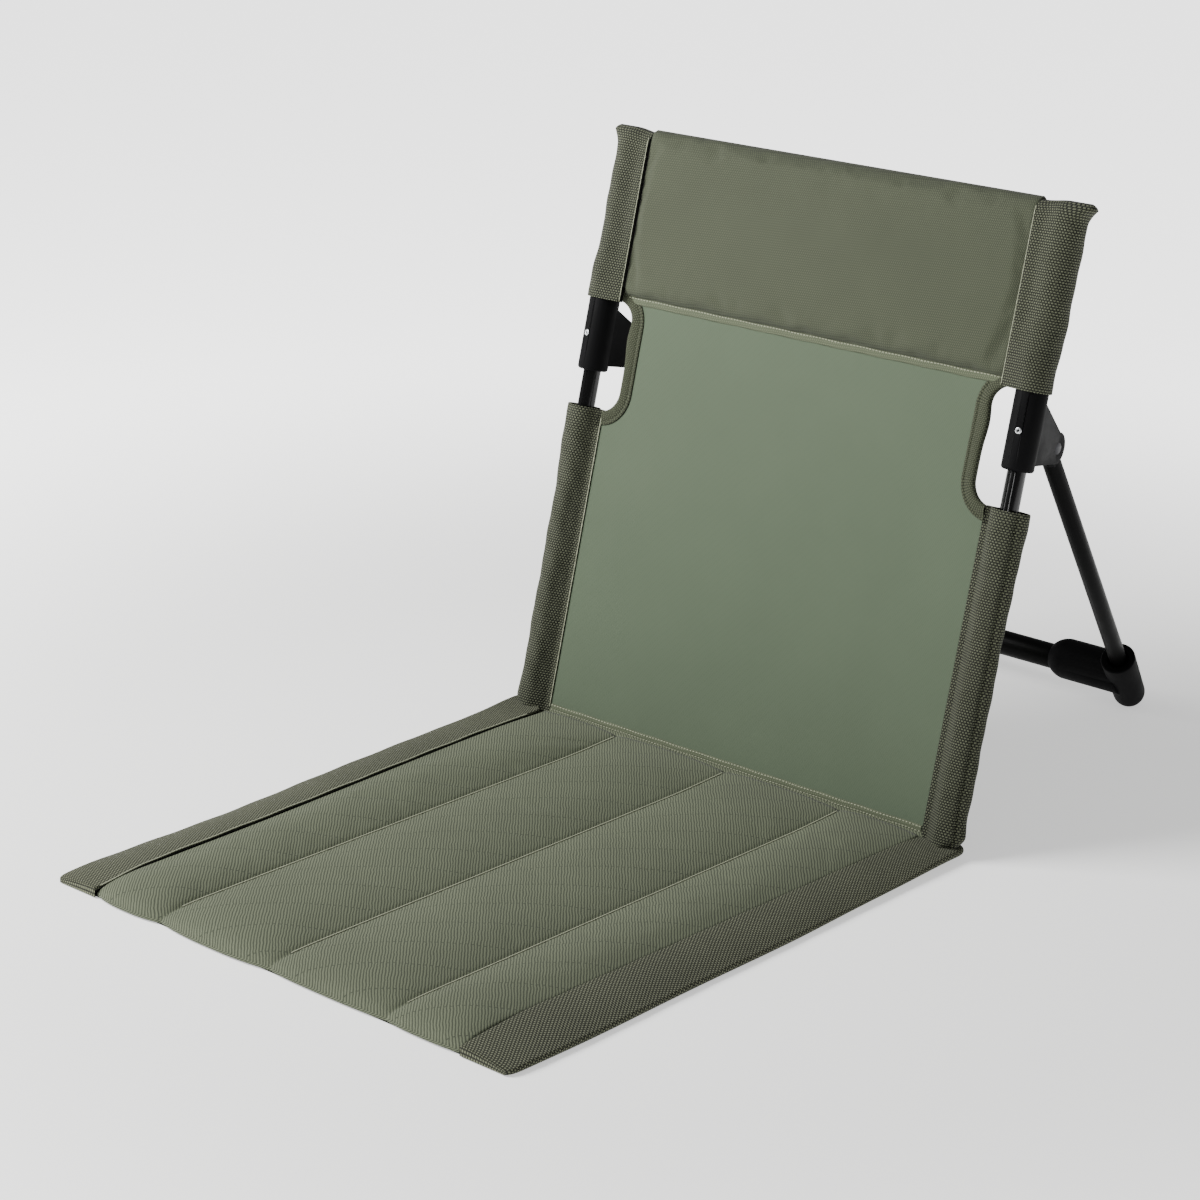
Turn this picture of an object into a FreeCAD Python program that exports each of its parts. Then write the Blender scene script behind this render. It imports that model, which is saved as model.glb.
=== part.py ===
import FreeCAD, Part
import math
import os

# Low ground chair: quilted seat mat, leaning back on two poles, folding rear stand.
# Millimetres and degrees. X runs across the chair, the seat points to -Y, Z is up.
# The origin is on the floor, under the middle of the whole chair.
# "Slope" sizes of the back are measured up the leaning back, from the floor.

# Seat mat
seat_width = 420.0
seat_reach = 434.0          # front edge, ahead of the point where a pole's axis meets the floor
channel_count = 4
hem_width = 38.0
hem_edge_height = 5.0
seat_lip = 3.2              # height of the front edge
seam_height = 8.0           # height of the cover at a sewn seam
crown_height = 15.0         # height of the cover in the middle of a channel
rear_height = 11.0          # height of the cover where it meets the back
hem_height = 9.5            # height of the cover where it meets the side hem
hem_rear_height = 5.4       # height of the hem at its rear end
hem_relief = 5.0            # length of the slant under the hem's rear end
hem_fullness = 0.75         # share of the hem's fall that is left in its middle
hem_crown = 0.3             # rise of the hem's middle over a straight fall
front_roll = 34.0           # length over which the front edge rises
rear_roll = 26.0            # length over which the crown dies out at the back
base_thickness = 1.0
cover_thickness = 1.2
seam_web = 5.0              # width of the sewn line between two pads
end_crown = 0.8             # rise of a channel above its seams at the seat's two ends
roll_steps = (0.0625, 0.25, 1.0)    # where the sections of a rolled edge are drawn, as shares of it
pad_inset = 16.0            # from the ends of the cover to the pads
pad_gap = 0.3               # room between a pad and its cover

# Back
recline = 15.0              # lean from upright
back_length = 447.0         # to the top of the cloth
seam_radius = 2.0           # rolled seams between seat and back
fold_height = 4.0           # height of the line that the seat folds about
fold_gap = 0.3              # from the seams on the fold line to the corner pockets
rear_gap = 4.4              # from the middle of the back to the seat's rear edge
sheet_thickness = 1.2

# Poles
pole_spacing = 387.0
pole_od = 13.0
pole_wall = 1.2
pole_foot_gap = 6.0         # lower end of the pole, above the floor
pole_top_gap = 7.0          # upper end of the pole, below the top of the cloth
cap_thickness = 2.0
cap_spigot = 12.0
press_gap = 0.05            # radial room of pieces that are pushed together
running_gap = 0.05          # radial room of the leg on its pin
cloth_gap = 0.35            # room between cloth and hard pieces

# Cloth round the poles
lower_sleeve_wall = 2.6
lower_sleeve_top = 238.0
lower_seam_reach = 18.5     # from the pole's axis to the seam with the lower panel
pocket_height = 20.0
pocket_wall = 3.5
upper_sleeve_wall = 1.0
upper_sleeve_bottom = 319.5
upper_seam_reach = 21.0     # from the pole's axis to the seam with the headrest
ear_reach = 8.0             # how far the top corner stands out
ear_height = 14.0
ear_tip = 4.0               # from the top of the cloth down to the ear's tip
ear_thickness = 3.0

# Headrest
headrest_edge = 15.4        # thickness at the sleeves
headrest_crown = 20.0       # thickness in the middle
headrest_roll = 9.0         # length over which the top and bottom edges thin out
headrest_lip = 3.6          # thickness of the top and bottom edges
headrest_swell = 0.6        # share of the thickness that is reached a quarter of the way in
hem_strip_height = 5.2
hem_strip_thickness = 1.0

# Cut-outs beside the hubs
cutout_reach = 31.5         # from the pole's axis to the edge of the tape
cutout_corner = 16.0
binding_width = 10.0
binding_thickness = 2.4

# Hubs
hub_od = 22.5
hub_bottom = 265.5
hub_top = 330.0
hub_edge = 2.2              # rounding of the lower rim
hub_turn = 12.0             # turn about the pole that points the fin at the foot
fin_thickness = 19.0
fin_top = 313.0
fin_bottom = 270.0
fin_edge = 1.2
knuckle_radius = 11.0
knuckle_step = 1.8          # how far the knuckle swells out of the fin's upper edge
knuckle_blend = 5.0         # hollow rounding where the knuckle starts to swell
pivot_setback = 42.5        # pole axis to pivot
pivot_height = 283.0

# Leg pivots
pin_diameter = 5.0
pin_head_diameter = 8.6
pin_head_height = 1.4
eye_radius = 8.0
eye_thickness = 8.0
eye_gap = 0.3
tongue_width = 12.0
stop_gap = 0.1              # room between the tongue and its stop when the stand is open
leg_start = 16.5            # pivot to the top of the leg tube
collar_length = 2.0
tongue_spigot = 22.0

# Rivets in the hubs
rivet_height = 292.5
rivet_diameter = 3.0
rivet_hole = 1.8
rivet_head_diameter = 4.6
rivet_head_height = 0.8
rivet_sink = 0.6            # depth of the flat that the head sits on
rivet_tail = 1.6

# Rear stand
foot_spacing = 237.0        # between the lower ends of the feet
foot_reach = 329.6          # behind the point where a pole's axis meets the floor
foot_ball = 12.0
foot_flat = 0.5             # depth of the flat worn on the ball
foot_rim = 13.0             # outer radius at the mouth
foot_length = 50.0          # from the ball's centre to the mouth
foot_rim_edge = 1.4
socket_floor = 6.0          # leg's lower end, above the ball's centre
mouth_radius = 8.2
mouth_depth = 8.0
bar_od = 19.0
bar_wall = 1.2
bar_level = 23.0            # bar's axis above the ball's centre, along the leg
boot_length = 62.0          # from the barrel's axis to the inner end
boot_radius = 15.6
boot_mouth = 10.9           # radius of the boot's inner end
boot_round = 12.0           # length over which the inner end swells to the full radius
boot_lift = 1.2             # boot's axis above the bar's
bar_engagement = 38.0

# Places worked out from the sizes above
pole_radius = pole_od / 2
bore_radius = pole_radius - pole_wall
hub_radius = hub_od / 2
pole_x = pole_spacing / 2
lean = math.radians(recline)
foot_centre_height = foot_ball - foot_flat
pole_foot_y = (seat_reach - foot_reach - foot_ball) / 2
seat_front_y = pole_foot_y - seat_reach
pocket_radius = pole_radius + cloth_gap + pocket_wall
fold_setback = (pocket_radius + fold_gap + seam_radius) / math.cos(lean)
fold_y = pole_foot_y + fold_height * math.tan(lean) - fold_setback
rear_slope = rear_height / math.cos(lean)
seat_rear_y = pole_foot_y + rear_height * math.tan(lean)
panel_half = pole_x - lower_seam_reach
headrest_half = pole_x - upper_seam_reach
headrest_bottom = upper_sleeve_bottom + hem_strip_height
pad_half = seat_width / 2 - hem_width
channel_pitch = seat_width / channel_count
leg_radius = pole_radius
turn = math.radians(hub_turn)
far = 4 * back_length


def vec(x, y, z):
    """Short name for a point or a direction."""
    return FreeCAD.Vector(x, y, z)


def on_back(x, n, s):
    """Point of the leaning back: x across, n behind the poles' plane, s up the slope."""
    return vec(x,
               pole_foot_y + n * math.cos(lean) + s * math.sin(lean),
               s * math.cos(lean) - n * math.sin(lean))


def leaned(shape):
    """Tip an upright back piece, drawn with the floor point at the origin, into its place."""
    shape.rotate(vec(0, 0, 0), vec(1, 0, 0), -recline)
    shape.translate(vec(0, pole_foot_y, 0))
    return shape


def mirrored(shape):
    """The same piece on the left side."""
    return shape.mirror(vec(0, 0, 0), vec(1, 0, 0))


def closed_wire(start, *steps):
    """Closed outline: a step is an end point (line) or a middle and an end point (arc)."""
    edges = []
    here = start
    for step in steps + (start,):
        if isinstance(step, tuple):
            middle, end = step
            edges.append(Part.Arc(here, middle, end).toShape())
        else:
            end = step
            if here.distanceToPoint(end) > 1e-6:
                edges.append(Part.LineSegment(here, end).toShape())
        here = end
    return Part.Wire(edges)


def slab(wire, direction):
    """Solid of a flat outline pushed along a direction."""
    return Part.Face(wire).extrude(direction)


def rod(radius, start, end):
    """Round bar between two points."""
    along = end - start
    return Part.makeCylinder(radius, along.Length, start, along)


def pipe(radius, wall, start, end):
    """Round tube between two points."""
    return rod(radius, start, end).cut(rod(radius - wall, start, end))


# Where the legs run
pivot = on_back(pole_x - pivot_setback * math.sin(turn), pivot_setback * math.cos(turn), pivot_height)
foot_centre = vec(foot_spacing / 2, pole_foot_y + foot_reach, foot_centre_height)
leg_vector = foot_centre - pivot
leg_span = leg_vector.Length
leg_down = leg_vector / leg_span
leg_side_view = vec(0, leg_vector.y, leg_vector.z).normalize()
stop_normal = vec(0, -leg_side_view.z, leg_side_view.y)
bar_point = foot_centre - leg_down * bar_level
boot_end_x = bar_point.x - boot_length
bar_half = boot_end_x + bar_engagement


def along_leg(distance):
    """Point of the right leg's axis, measured from its pivot."""
    return pivot + leg_down * distance


# Poles and their caps

def make_pole():
    """Straight pole, with the hole that its hub's rivet goes through."""
    top = back_length - pole_top_gap
    tube = pipe(pole_radius, pole_wall, vec(pole_x, 0, pole_foot_gap), vec(pole_x, 0, top))
    tube = tube.cut(rod(rivet_diameter / 2 + press_gap, rivet_point(0), rivet_point(hub_radius)))
    return leaned(tube)


def make_cap(end_height, outward):
    """Plug in a pole's end: a domed disc and a spigot. outward is +1 at the top, -1 at the bottom."""
    spigot = bore_radius - press_gap
    dome = cap_thickness / 2
    profile = closed_wire(
        vec(0, 0, -cap_spigot),
        vec(spigot, 0, -cap_spigot),
        vec(spigot, 0, 0),
        vec(pole_radius, 0, 0),
        vec(pole_radius, 0, dome),
        (vec(pole_radius - dome * (1 - math.sqrt(0.5)), 0, dome * (1 + math.sqrt(0.5))),
         vec(pole_radius - dome, 0, cap_thickness)),
        vec(0, 0, cap_thickness))
    plug = Part.Face(profile).revolve(vec(0, 0, 0), vec(0, 0, 1), 360)
    if outward < 0:
        plug.rotate(vec(0, 0, 0), vec(1, 0, 0), 180)
    plug.translate(vec(pole_x, 0, end_height))
    return leaned(plug)


# Hubs: a sleeve round the pole, with a rear fin that forks round the leg's eye

def rivet_point(distance):
    """Point at this distance from the pole's axis, towards the hub's rivet (upright)."""
    return vec(pole_x + distance * math.sin(turn), -distance * math.cos(turn), rivet_height)


def tangent_point(outside, centre, radius, side):
    """Where a line from a point of the YZ plane touches a circle; side is +1 above, -1 below."""
    across = centre - outside
    reach = across.Length
    swing = math.acos(radius / reach)
    back = math.atan2(-across.z, -across.y) - side * swing
    return centre + vec(0, math.cos(back), math.sin(back)) * radius


def make_fin():
    """Flat fin behind a pole at the origin, rounded about the pivot."""
    half = fin_thickness / 2
    root = hub_radius - press_gap - half / 2
    centre = vec(-half, pivot_setback, pivot_height)
    top = vec(-half, root, fin_top)
    bottom = vec(-half, root, fin_bottom)
    nearest = tangent_point(top, centre, knuckle_radius - knuckle_step, 1)
    run = (nearest - top).normalize()
    upper = nearest - run * math.sqrt(knuckle_radius ** 2 - (knuckle_radius - knuckle_step) ** 2)
    lower = tangent_point(bottom, centre, knuckle_radius, -1)
    outer = centre + vec(0, knuckle_radius, 0)
    inner_top = vec(-half, 0, fin_top)
    inner_bottom = vec(-half, 0, fin_bottom)
    outline = closed_wire(inner_bottom, inner_top, top, upper, (outer, lower), bottom)
    fin = slab(outline, vec(fin_thickness, 0, 0))
    hollow = [edge for edge in fin.Edges
              if edge.BoundBox.YLength < press_gap and edge.distToShape(Part.Vertex(upper))[0] < press_gap
              and edge.BoundBox.XLength > half]
    fin = fin.makeFillet(knuckle_blend, hollow)
    rims = [edge for edge in fin.Edges
            if edge.BoundBox.XLength < press_gap and edge.BoundBox.YMax > hub_radius]
    return fin.makeFillet(fin_edge, rims)


def fork_slot():
    """Room for the leg's eye, from the folded leg to the open leg's stop."""
    reach = 3 * knuckle_radius
    half = eye_thickness / 2 + eye_gap
    side = tongue_width / 2 + 2 * eye_gap
    stop = tongue_width / 2 + stop_gap
    left = vec(pivot.x - half, pivot.y, pivot.z)
    up = on_back(0, 0, 1) - on_back(0, 0, 0)
    rear = on_back(0, 1, 0) - on_back(0, 0, 0)
    wedge = closed_wire(
        left - rear * side,
        left - rear * side - up * reach,
        left + leg_side_view * reach - up * reach,
        left + leg_side_view * reach + stop_normal * stop,
        left + stop_normal * stop)
    room = slab(wedge, vec(2 * half, 0, 0))
    return room.fuse(rod(eye_radius + 2 * eye_gap, left, left + vec(2 * half, 0, 0)))


def pin_seat(outward):
    """Point where a pin's head sits: outward is +1 on the outer cheek, -1 on the inner one."""
    skew = pin_head_diameter / 2 * math.tan(turn)
    half = fin_thickness / 2 / math.cos(turn) - skew - press_gap - pin_head_height / 2
    return pivot + vec(outward * half, 0, 0)


def make_hub():
    """Moulded hub: pole sleeve, fin, fork slot, pin holes and the rivet's seat."""
    sleeve = Part.makeCylinder(hub_radius, hub_top - hub_bottom, vec(0, 0, hub_bottom))
    lower_rim = [edge for edge in sleeve.Edges if edge.BoundBox.ZMax < hub_bottom + hub_edge]
    sleeve = sleeve.makeFillet(hub_edge, lower_rim)
    hub = sleeve.fuse(make_fin())
    hub = hub.cut(Part.makeCylinder(pole_radius + press_gap, far, vec(0, 0, 0)))
    hub.rotate(vec(0, 0, 0), vec(0, 0, 1), hub_turn)
    hub.translate(vec(pole_x, 0, 0))
    hub = hub.cut(rod(rivet_diameter / 2 + press_gap, rivet_point(0), rivet_point(2 * hub_radius)))
    seat = hub_radius - rivet_sink
    hub = hub.cut(rod(rivet_head_diameter / 2 + press_gap, rivet_point(seat), rivet_point(2 * hub_radius)))
    hub = leaned(hub)
    hub = hub.cut(fork_slot())
    reach = vec(fin_thickness, 0, 0)
    hub = hub.cut(rod(pin_diameter / 2 + press_gap / 2, pivot - reach, pivot + reach))
    for outward in (1, -1):
        start = pin_seat(outward)
        hub = hub.cut(rod(pin_head_diameter / 2 + press_gap, start, start + reach * outward))
    return hub.removeSplitter()


def make_rivet():
    """Hollow rivet through the front of a hub and its pole."""
    seat = hub_radius - rivet_sink
    tail = pole_radius - pole_wall - rivet_tail
    rivet = rod(rivet_diameter / 2, rivet_point(tail), rivet_point(seat))
    rivet = rivet.fuse(rod(rivet_head_diameter / 2, rivet_point(seat), rivet_point(seat + rivet_head_height)))
    rivet = rivet.cut(rod(rivet_hole / 2, rivet_point(0), rivet_point(2 * hub_radius)))
    return leaned(rivet)


def make_pin():
    """Pivot pin with a head on each cheek of the fork."""
    inner, outer = pin_seat(-1), pin_seat(1)
    head = vec(pin_head_height, 0, 0)
    pin = rod(pin_diameter / 2, inner, outer)
    pin = pin.fuse(rod(pin_head_diameter / 2, outer, outer + head))
    pin = pin.fuse(rod(pin_head_diameter / 2, inner - head, inner))
    return pin.removeSplitter()


# Cloth round the poles

def drop_outline(radius, reach, half_thickness, height):
    """Sleeve outline at the right pole: round the pole, narrowing inward to the seam."""
    centre = vec(pole_x, 0, height)
    seam_x = pole_x - reach
    corner = vec(seam_x, half_thickness, height)
    away = corner - centre
    swing = math.acos(radius / away.Length)
    angle = math.atan2(away.y, away.x) - swing
    rear = centre + vec(math.cos(angle), math.sin(angle), 0) * radius
    front = vec(rear.x, -rear.y, height)
    outer = centre + vec(radius, 0, 0)
    return closed_wire(vec(seam_x, -half_thickness, height), front, (outer, rear), corner)


def lower_sleeve_radius():
    """Outer radius of the lower sleeve."""
    return pole_radius + cloth_gap + lower_sleeve_wall


def upper_sleeve_radius():
    """Outer radius of the upper sleeve, which also covers the hub's top."""
    return hub_radius + cloth_gap + upper_sleeve_wall


def make_lower_sleeve():
    """Cloth sleeve round the lower pole, with its flat seam towards the panel."""
    outline = drop_outline(lower_sleeve_radius(), lower_seam_reach, sheet_thickness, pocket_height)
    sleeve = slab(outline, vec(0, 0, lower_sleeve_top - pocket_height))
    return leaned(sleeve.cut(rod(pole_radius + cloth_gap, vec(pole_x, 0, 0), vec(pole_x, 0, back_length))))


def make_corner_pocket():
    """Cloth cup that the pole stands in, flat on the floor."""
    outline = drop_outline(pocket_radius, lower_seam_reach, sheet_thickness, -pocket_height)
    cup = slab(outline, vec(0, 0, 2 * pocket_height))
    floor = pole_foot_gap - cap_thickness
    cup = cup.cut(rod(pole_radius + cloth_gap, vec(pole_x, 0, floor), vec(pole_x, 0, back_length)))
    cup = leaned(cup)
    return cup.cut(Part.makeBox(2 * far, 2 * far, far, vec(-far, -far, -far)))


def make_upper_sleeve():
    """Cloth pocket over the hub's top and the upper pole, with an ear at its top corner."""
    radius = upper_sleeve_radius()
    length = back_length - upper_sleeve_bottom
    outline = drop_outline(radius, upper_seam_reach, headrest_edge / 2, upper_sleeve_bottom)
    sleeve = slab(outline, vec(0, 0, length))
    half = ear_thickness / 2
    shoulder = pole_x + math.sqrt(radius ** 2 - half ** 2)
    ear = closed_wire(
        vec(pole_x, -half, back_length),
        vec(shoulder + ear_reach / 2, -half, back_length),
        vec(shoulder + ear_reach, -half, back_length - ear_tip),
        vec(shoulder - half, -half, back_length - ear_height),
        vec(pole_x, -half, back_length - ear_height))
    sleeve = sleeve.fuse(slab(ear, vec(0, ear_thickness, 0))).removeSplitter()
    roof = back_length - pole_top_gap + cap_thickness
    room = rod(hub_radius + cloth_gap, vec(pole_x, 0, 0), vec(pole_x, 0, roof))
    return leaned(sleeve.cut(room))


# Panels of the back

def cutout_bend(centre, radius, up):
    """Middle and end of a cut-out's corner, from its upright edge to the panel's side edge at most.

    up is +1 for the upper corner and -1 for the lower one.
    """
    sweep = math.acos(max(centre.x - panel_half, 0) / radius)
    middle, end = [centre + vec(-math.cos(angle), 0, up * math.sin(angle)) * radius
                   for angle in (sweep / 2, sweep)]
    return middle, end


def cutout_form(grow, thickness):
    """Room of the right cut-out, open on its outer side and grown on the others.

    The grown one, with the tape's room, has a square upper corner.
    """
    front = -thickness / 2
    inner_x = pole_x - cutout_reach - grow
    radius = cutout_corner + grow
    top = upper_sleeve_bottom
    low = vec(inner_x + radius, front, lower_sleeve_top - grow + radius)
    low_middle, low_end = cutout_bend(low, radius, -1)
    steps = [low_end, (low_middle, vec(inner_x, front, low.z))]
    if grow > 0:
        steps += [vec(inner_x, front, top)]
    else:
        high = vec(inner_x + radius, front, top - radius)
        high_middle, high_end = cutout_bend(high, radius, 1)
        steps += [vec(inner_x, front, high.z), (high_middle, high_end)]
        top = high_end.z
    outline = closed_wire(vec(panel_half, front, low_end.z), *steps, vec(panel_half, front, top))
    return slab(outline, vec(0, thickness, 0))


def make_mesh_panel():
    """Lower panel of the back, with room for the taped cut-outs, sewn in behind the headrest's hem."""
    front = -sheet_thickness / 2
    bottom = rear_slope + seam_radius
    main = Part.makeBox(2 * panel_half, sheet_thickness, upper_sleeve_bottom - bottom,
                        vec(-panel_half, front, bottom))
    opening = cutout_form(binding_width, sheet_thickness)
    edge = Part.makeBox(2 * headrest_half, sheet_thickness, hem_strip_height,
                        vec(-headrest_half, front, upper_sleeve_bottom))
    return leaned(main.cut(opening).cut(mirrored(opening)).fuse(edge).removeSplitter())


def make_binding():
    """Tape round the right cut-out, folded over the panel's edge."""
    return leaned(cutout_form(binding_width, binding_thickness).cut(cutout_form(0, binding_thickness)))


def pillow_wire(half_width, edge, crown, height):
    """Headrest section at one height: front and rear arcs between two flat sides."""
    return closed_wire(
        vec(-half_width, -edge / 2, height),
        (vec(0, -crown / 2, height), vec(half_width, -edge / 2, height)),
        vec(half_width, edge / 2, height),
        (vec(0, crown / 2, height), vec(-half_width, edge / 2, height)))


def pillow(inset):
    """Headrest form, drawn in by an inset on every side."""
    low = headrest_bottom + inset
    high = back_length - inset
    early = headrest_roll * roll_steps[1]
    rise = headrest_crown / headrest_edge
    wires = []
    for height, share in ((low, 0), (low + early, headrest_swell), (low + headrest_roll, 1),
                          (high - headrest_roll, 1), (high - early, headrest_swell), (high, 0)):
        edge = headrest_lip + (headrest_edge - headrest_lip) * share
        room = 2 * inset * (edge / headrest_edge)
        wires.append(pillow_wire(headrest_half - inset, edge - room, edge * rise - room, height))
    return Part.makeLoft(wires, True, True)


def make_headrest_cover():
    """Closed cover of the padded headrest."""
    return leaned(pillow(0).cut(pillow(cover_thickness)))


def make_headrest_pad():
    """Foam in the headrest."""
    return leaned(pillow(cover_thickness + pad_gap))


def make_headrest_hem():
    """Folded strip that stitches the headrest to the panel."""
    front = -sheet_thickness / 2 - hem_strip_thickness
    return leaned(Part.makeBox(2 * headrest_half, hem_strip_thickness, hem_strip_height,
                               vec(-headrest_half, front, upper_sleeve_bottom)))


def make_seat_seam():
    """Rolled seam along the lower edge of the panel."""
    end = vec(panel_half, seat_rear_y, rear_height)
    return rod(seam_radius, vec(-end.x, end.y, end.z), end)


# Seat mat

def rear_room():
    """Space behind the seat: the leaning back, and the corner seams that the hems end at."""
    room = leaned(Part.makeBox(2 * far, far, 2 * far, vec(-far, -rear_gap, -far)))
    hem_end = fold_y - seam_radius
    inner = min(panel_half - rear_gap, pad_half)
    corner = slab(closed_wire(vec(inner, hem_end, far), vec(inner, hem_end, fold_height - seam_radius / 2),
                              vec(inner, hem_end - hem_relief, 0), vec(inner, hem_end - hem_relief, -far),
                              vec(inner, far, -far), vec(inner, far, far)), vec(far, 0, 0))
    return room.fuse(corner).fuse(mirrored(corner))


def rise_share(distance, roll):
    """How far an edge has risen at this distance from it, as a quarter round."""
    part = min(max(distance / roll, 0.0), 1.0)
    return math.sqrt(1 - (1 - part) ** 2)


def seat_heights(y):
    """Heights of seam, crown and hem line of the cover at one place along the seat."""
    front = rise_share(y - seat_front_y, front_roll)
    rear = rise_share(seat_rear_y - y, rear_roll)
    level = rear_height + (seam_height - rear_height) * rear
    seam = seat_lip + (level - seat_lip) * front
    crown = seat_lip + (rear_height + (crown_height - rear_height) * rear - seat_lip) * front + end_crown
    hem = seat_lip + (hem_height - seat_lip) * front
    return seam, crown, hem


def channel_lines():
    """Places across the seat where the cover is sewn down, from hem to hem."""
    inner = [channel_pitch * (k - channel_count / 2) for k in range(1, channel_count)]
    return [-pad_half] + inner + [pad_half]


def cover_wire(y):
    """Section of the quilted cover across the seat."""
    seam, crown, hem = seat_heights(y)
    lines = channel_lines()
    heights = [hem] + [seam] * (len(lines) - 2) + [hem]
    steps = [vec(lines[0], y, hem)]
    for x0, x1, z1 in zip(lines, lines[1:], heights[1:]):
        steps.append((vec((x0 + x1) / 2, y, crown), vec(x1, y, z1)))
    return closed_wire(vec(lines[0], y, base_thickness), *steps, vec(lines[-1], y, base_thickness))


def seat_stations(inset):
    """Places along the seat where its sections are drawn, from front to rear."""
    front = seat_front_y + inset
    rear = seat_rear_y - inset
    rising = [front + front_roll * step for step in roll_steps]
    falling = [rear - rear_roll * step for step in roll_steps[:0:-1]]
    return [front] + rising + falling + [rear]


def channel_form(index, room):
    """Inside of one sewn channel, smaller by the given room."""
    lines = channel_lines()
    x0 = lines[index] + seam_web / 2 + room
    x1 = lines[index + 1] - seam_web / 2 - room
    middle = (lines[index] + lines[index + 1]) / 2
    wires = []
    for y in seat_stations(pad_inset + room)[2:-1]:
        seam, crown, hem = seat_heights(y)
        low = base_thickness
        side = max(min(seam, hem) - cover_thickness, low) - room
        top = crown - cover_thickness - room
        wires.append(closed_wire(vec(x0, y, low), vec(x0, y, side),
                                 (vec(middle, y, top), vec(x1, y, side)), vec(x1, y, low)))
    return Part.makeLoft(wires, True, True)


def make_seat_cover():
    """Quilted upper cloth, hollow over each pad."""
    cover = Part.makeLoft([cover_wire(y) for y in seat_stations(0)], True, True)
    for index in range(channel_count):
        cover = cover.cut(channel_form(index, 0))
    return cover.cut(rear_room())


def make_seat_base():
    """Ground sheet under the pads."""
    sheet = Part.makeBox(2 * pad_half, seat_reach, base_thickness, vec(-pad_half, seat_front_y, 0))
    return sheet.cut(rear_room())


def hem_wire(y):
    """Section of the right side hem: from the cover's height down to a rounded edge."""
    _, _, inner = seat_heights(y)
    rear = rise_share(fold_y - y, rear_roll)
    inner = min(inner, hem_rear_height + (hem_height - hem_rear_height) * rear)
    share = rise_share(y - seat_front_y, front_roll)
    edge = seat_lip + (hem_edge_height - seat_lip) * share
    outer_x = seat_width / 2
    round_x = outer_x - edge / 2
    mid_x = (pad_half + round_x) / 2
    bulge = edge + (inner - edge) * hem_fullness + hem_crown
    bend = edge / 2 * math.sqrt(0.5)
    return closed_wire(
        vec(pad_half, y, 0),
        vec(pad_half, y, inner),
        (vec(mid_x, y, bulge), vec(round_x, y, edge)),
        (vec(round_x + bend, y, edge / 2 + bend), vec(outer_x, y, edge / 2)),
        (vec(round_x + bend, y, edge / 2 - bend), vec(round_x, y, 0)))


def make_seat_hem():
    """Heavy side hem of the seat."""
    rising = seat_stations(0)[:len(roll_steps) + 1]
    falling = [fold_y - rear_roll * step for step in roll_steps[:0:-1]]
    hem = Part.makeLoft([hem_wire(y) for y in rising + falling + [fold_y]], True, True)
    return hem.cut(rear_room())


def make_corner_seam():
    """Rolled seam on the fold line, between the hem and the corner pocket."""
    outer = seat_width / 2 - hem_edge_height
    return rod(seam_radius, vec(pad_half, fold_y, fold_height), vec(outer, fold_y, fold_height))


# Rear stand

def make_leg():
    """Leg tube, from its tongue down into the foot's socket."""
    return pipe(leg_radius, pole_wall, along_leg(leg_start), along_leg(leg_span - socket_floor))


def make_leg_tongue():
    """Moulded eye on the pin, with a spigot in the leg."""
    half = eye_thickness / 2
    left = pivot - vec(half, 0, 0)
    across = vec(eye_thickness, 0, 0)
    side = stop_normal * (tongue_width / 2)
    reach = leg_side_view * (leg_start - collar_length / 2)
    bar = slab(closed_wire(left + side, left + side + reach, left - side + reach, left - side), across)
    tongue = rod(eye_radius, left, left + across).fuse(bar)
    tongue = tongue.fuse(rod(leg_radius, along_leg(leg_start - collar_length), along_leg(leg_start)))
    spigot_end = along_leg(leg_start + tongue_spigot)
    tongue = tongue.fuse(rod(bore_radius - press_gap, along_leg(leg_start), spigot_end))
    tongue = tongue.cut(rod(pin_diameter / 2 + running_gap, left - across, left + across * 2))
    return tongue.removeSplitter()


def make_boot():
    """Boot of the right foot, round the bar: its inner end swells to the full radius."""
    axis = vec(boot_end_x, bar_point.y, bar_point.z + boot_lift)
    swell = boot_radius - boot_mouth
    bend = (boot_round ** 2 + swell ** 2) / (2 * swell)
    sweep = math.asin(boot_round / bend) / 2
    middle = vec(boot_round - bend * math.sin(sweep), 0, boot_radius - bend * (1 - math.cos(sweep)))
    outline = closed_wire(
        vec(0, 0, 0),
        vec(0, 0, boot_mouth),
        (middle, vec(boot_round, 0, boot_radius)),
        vec(boot_length, 0, boot_radius),
        vec(boot_length, 0, 0))
    boot = Part.Face(outline).revolve(vec(0, 0, 0), vec(1, 0, 0), 360)
    boot.translate(axis)
    return boot


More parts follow.
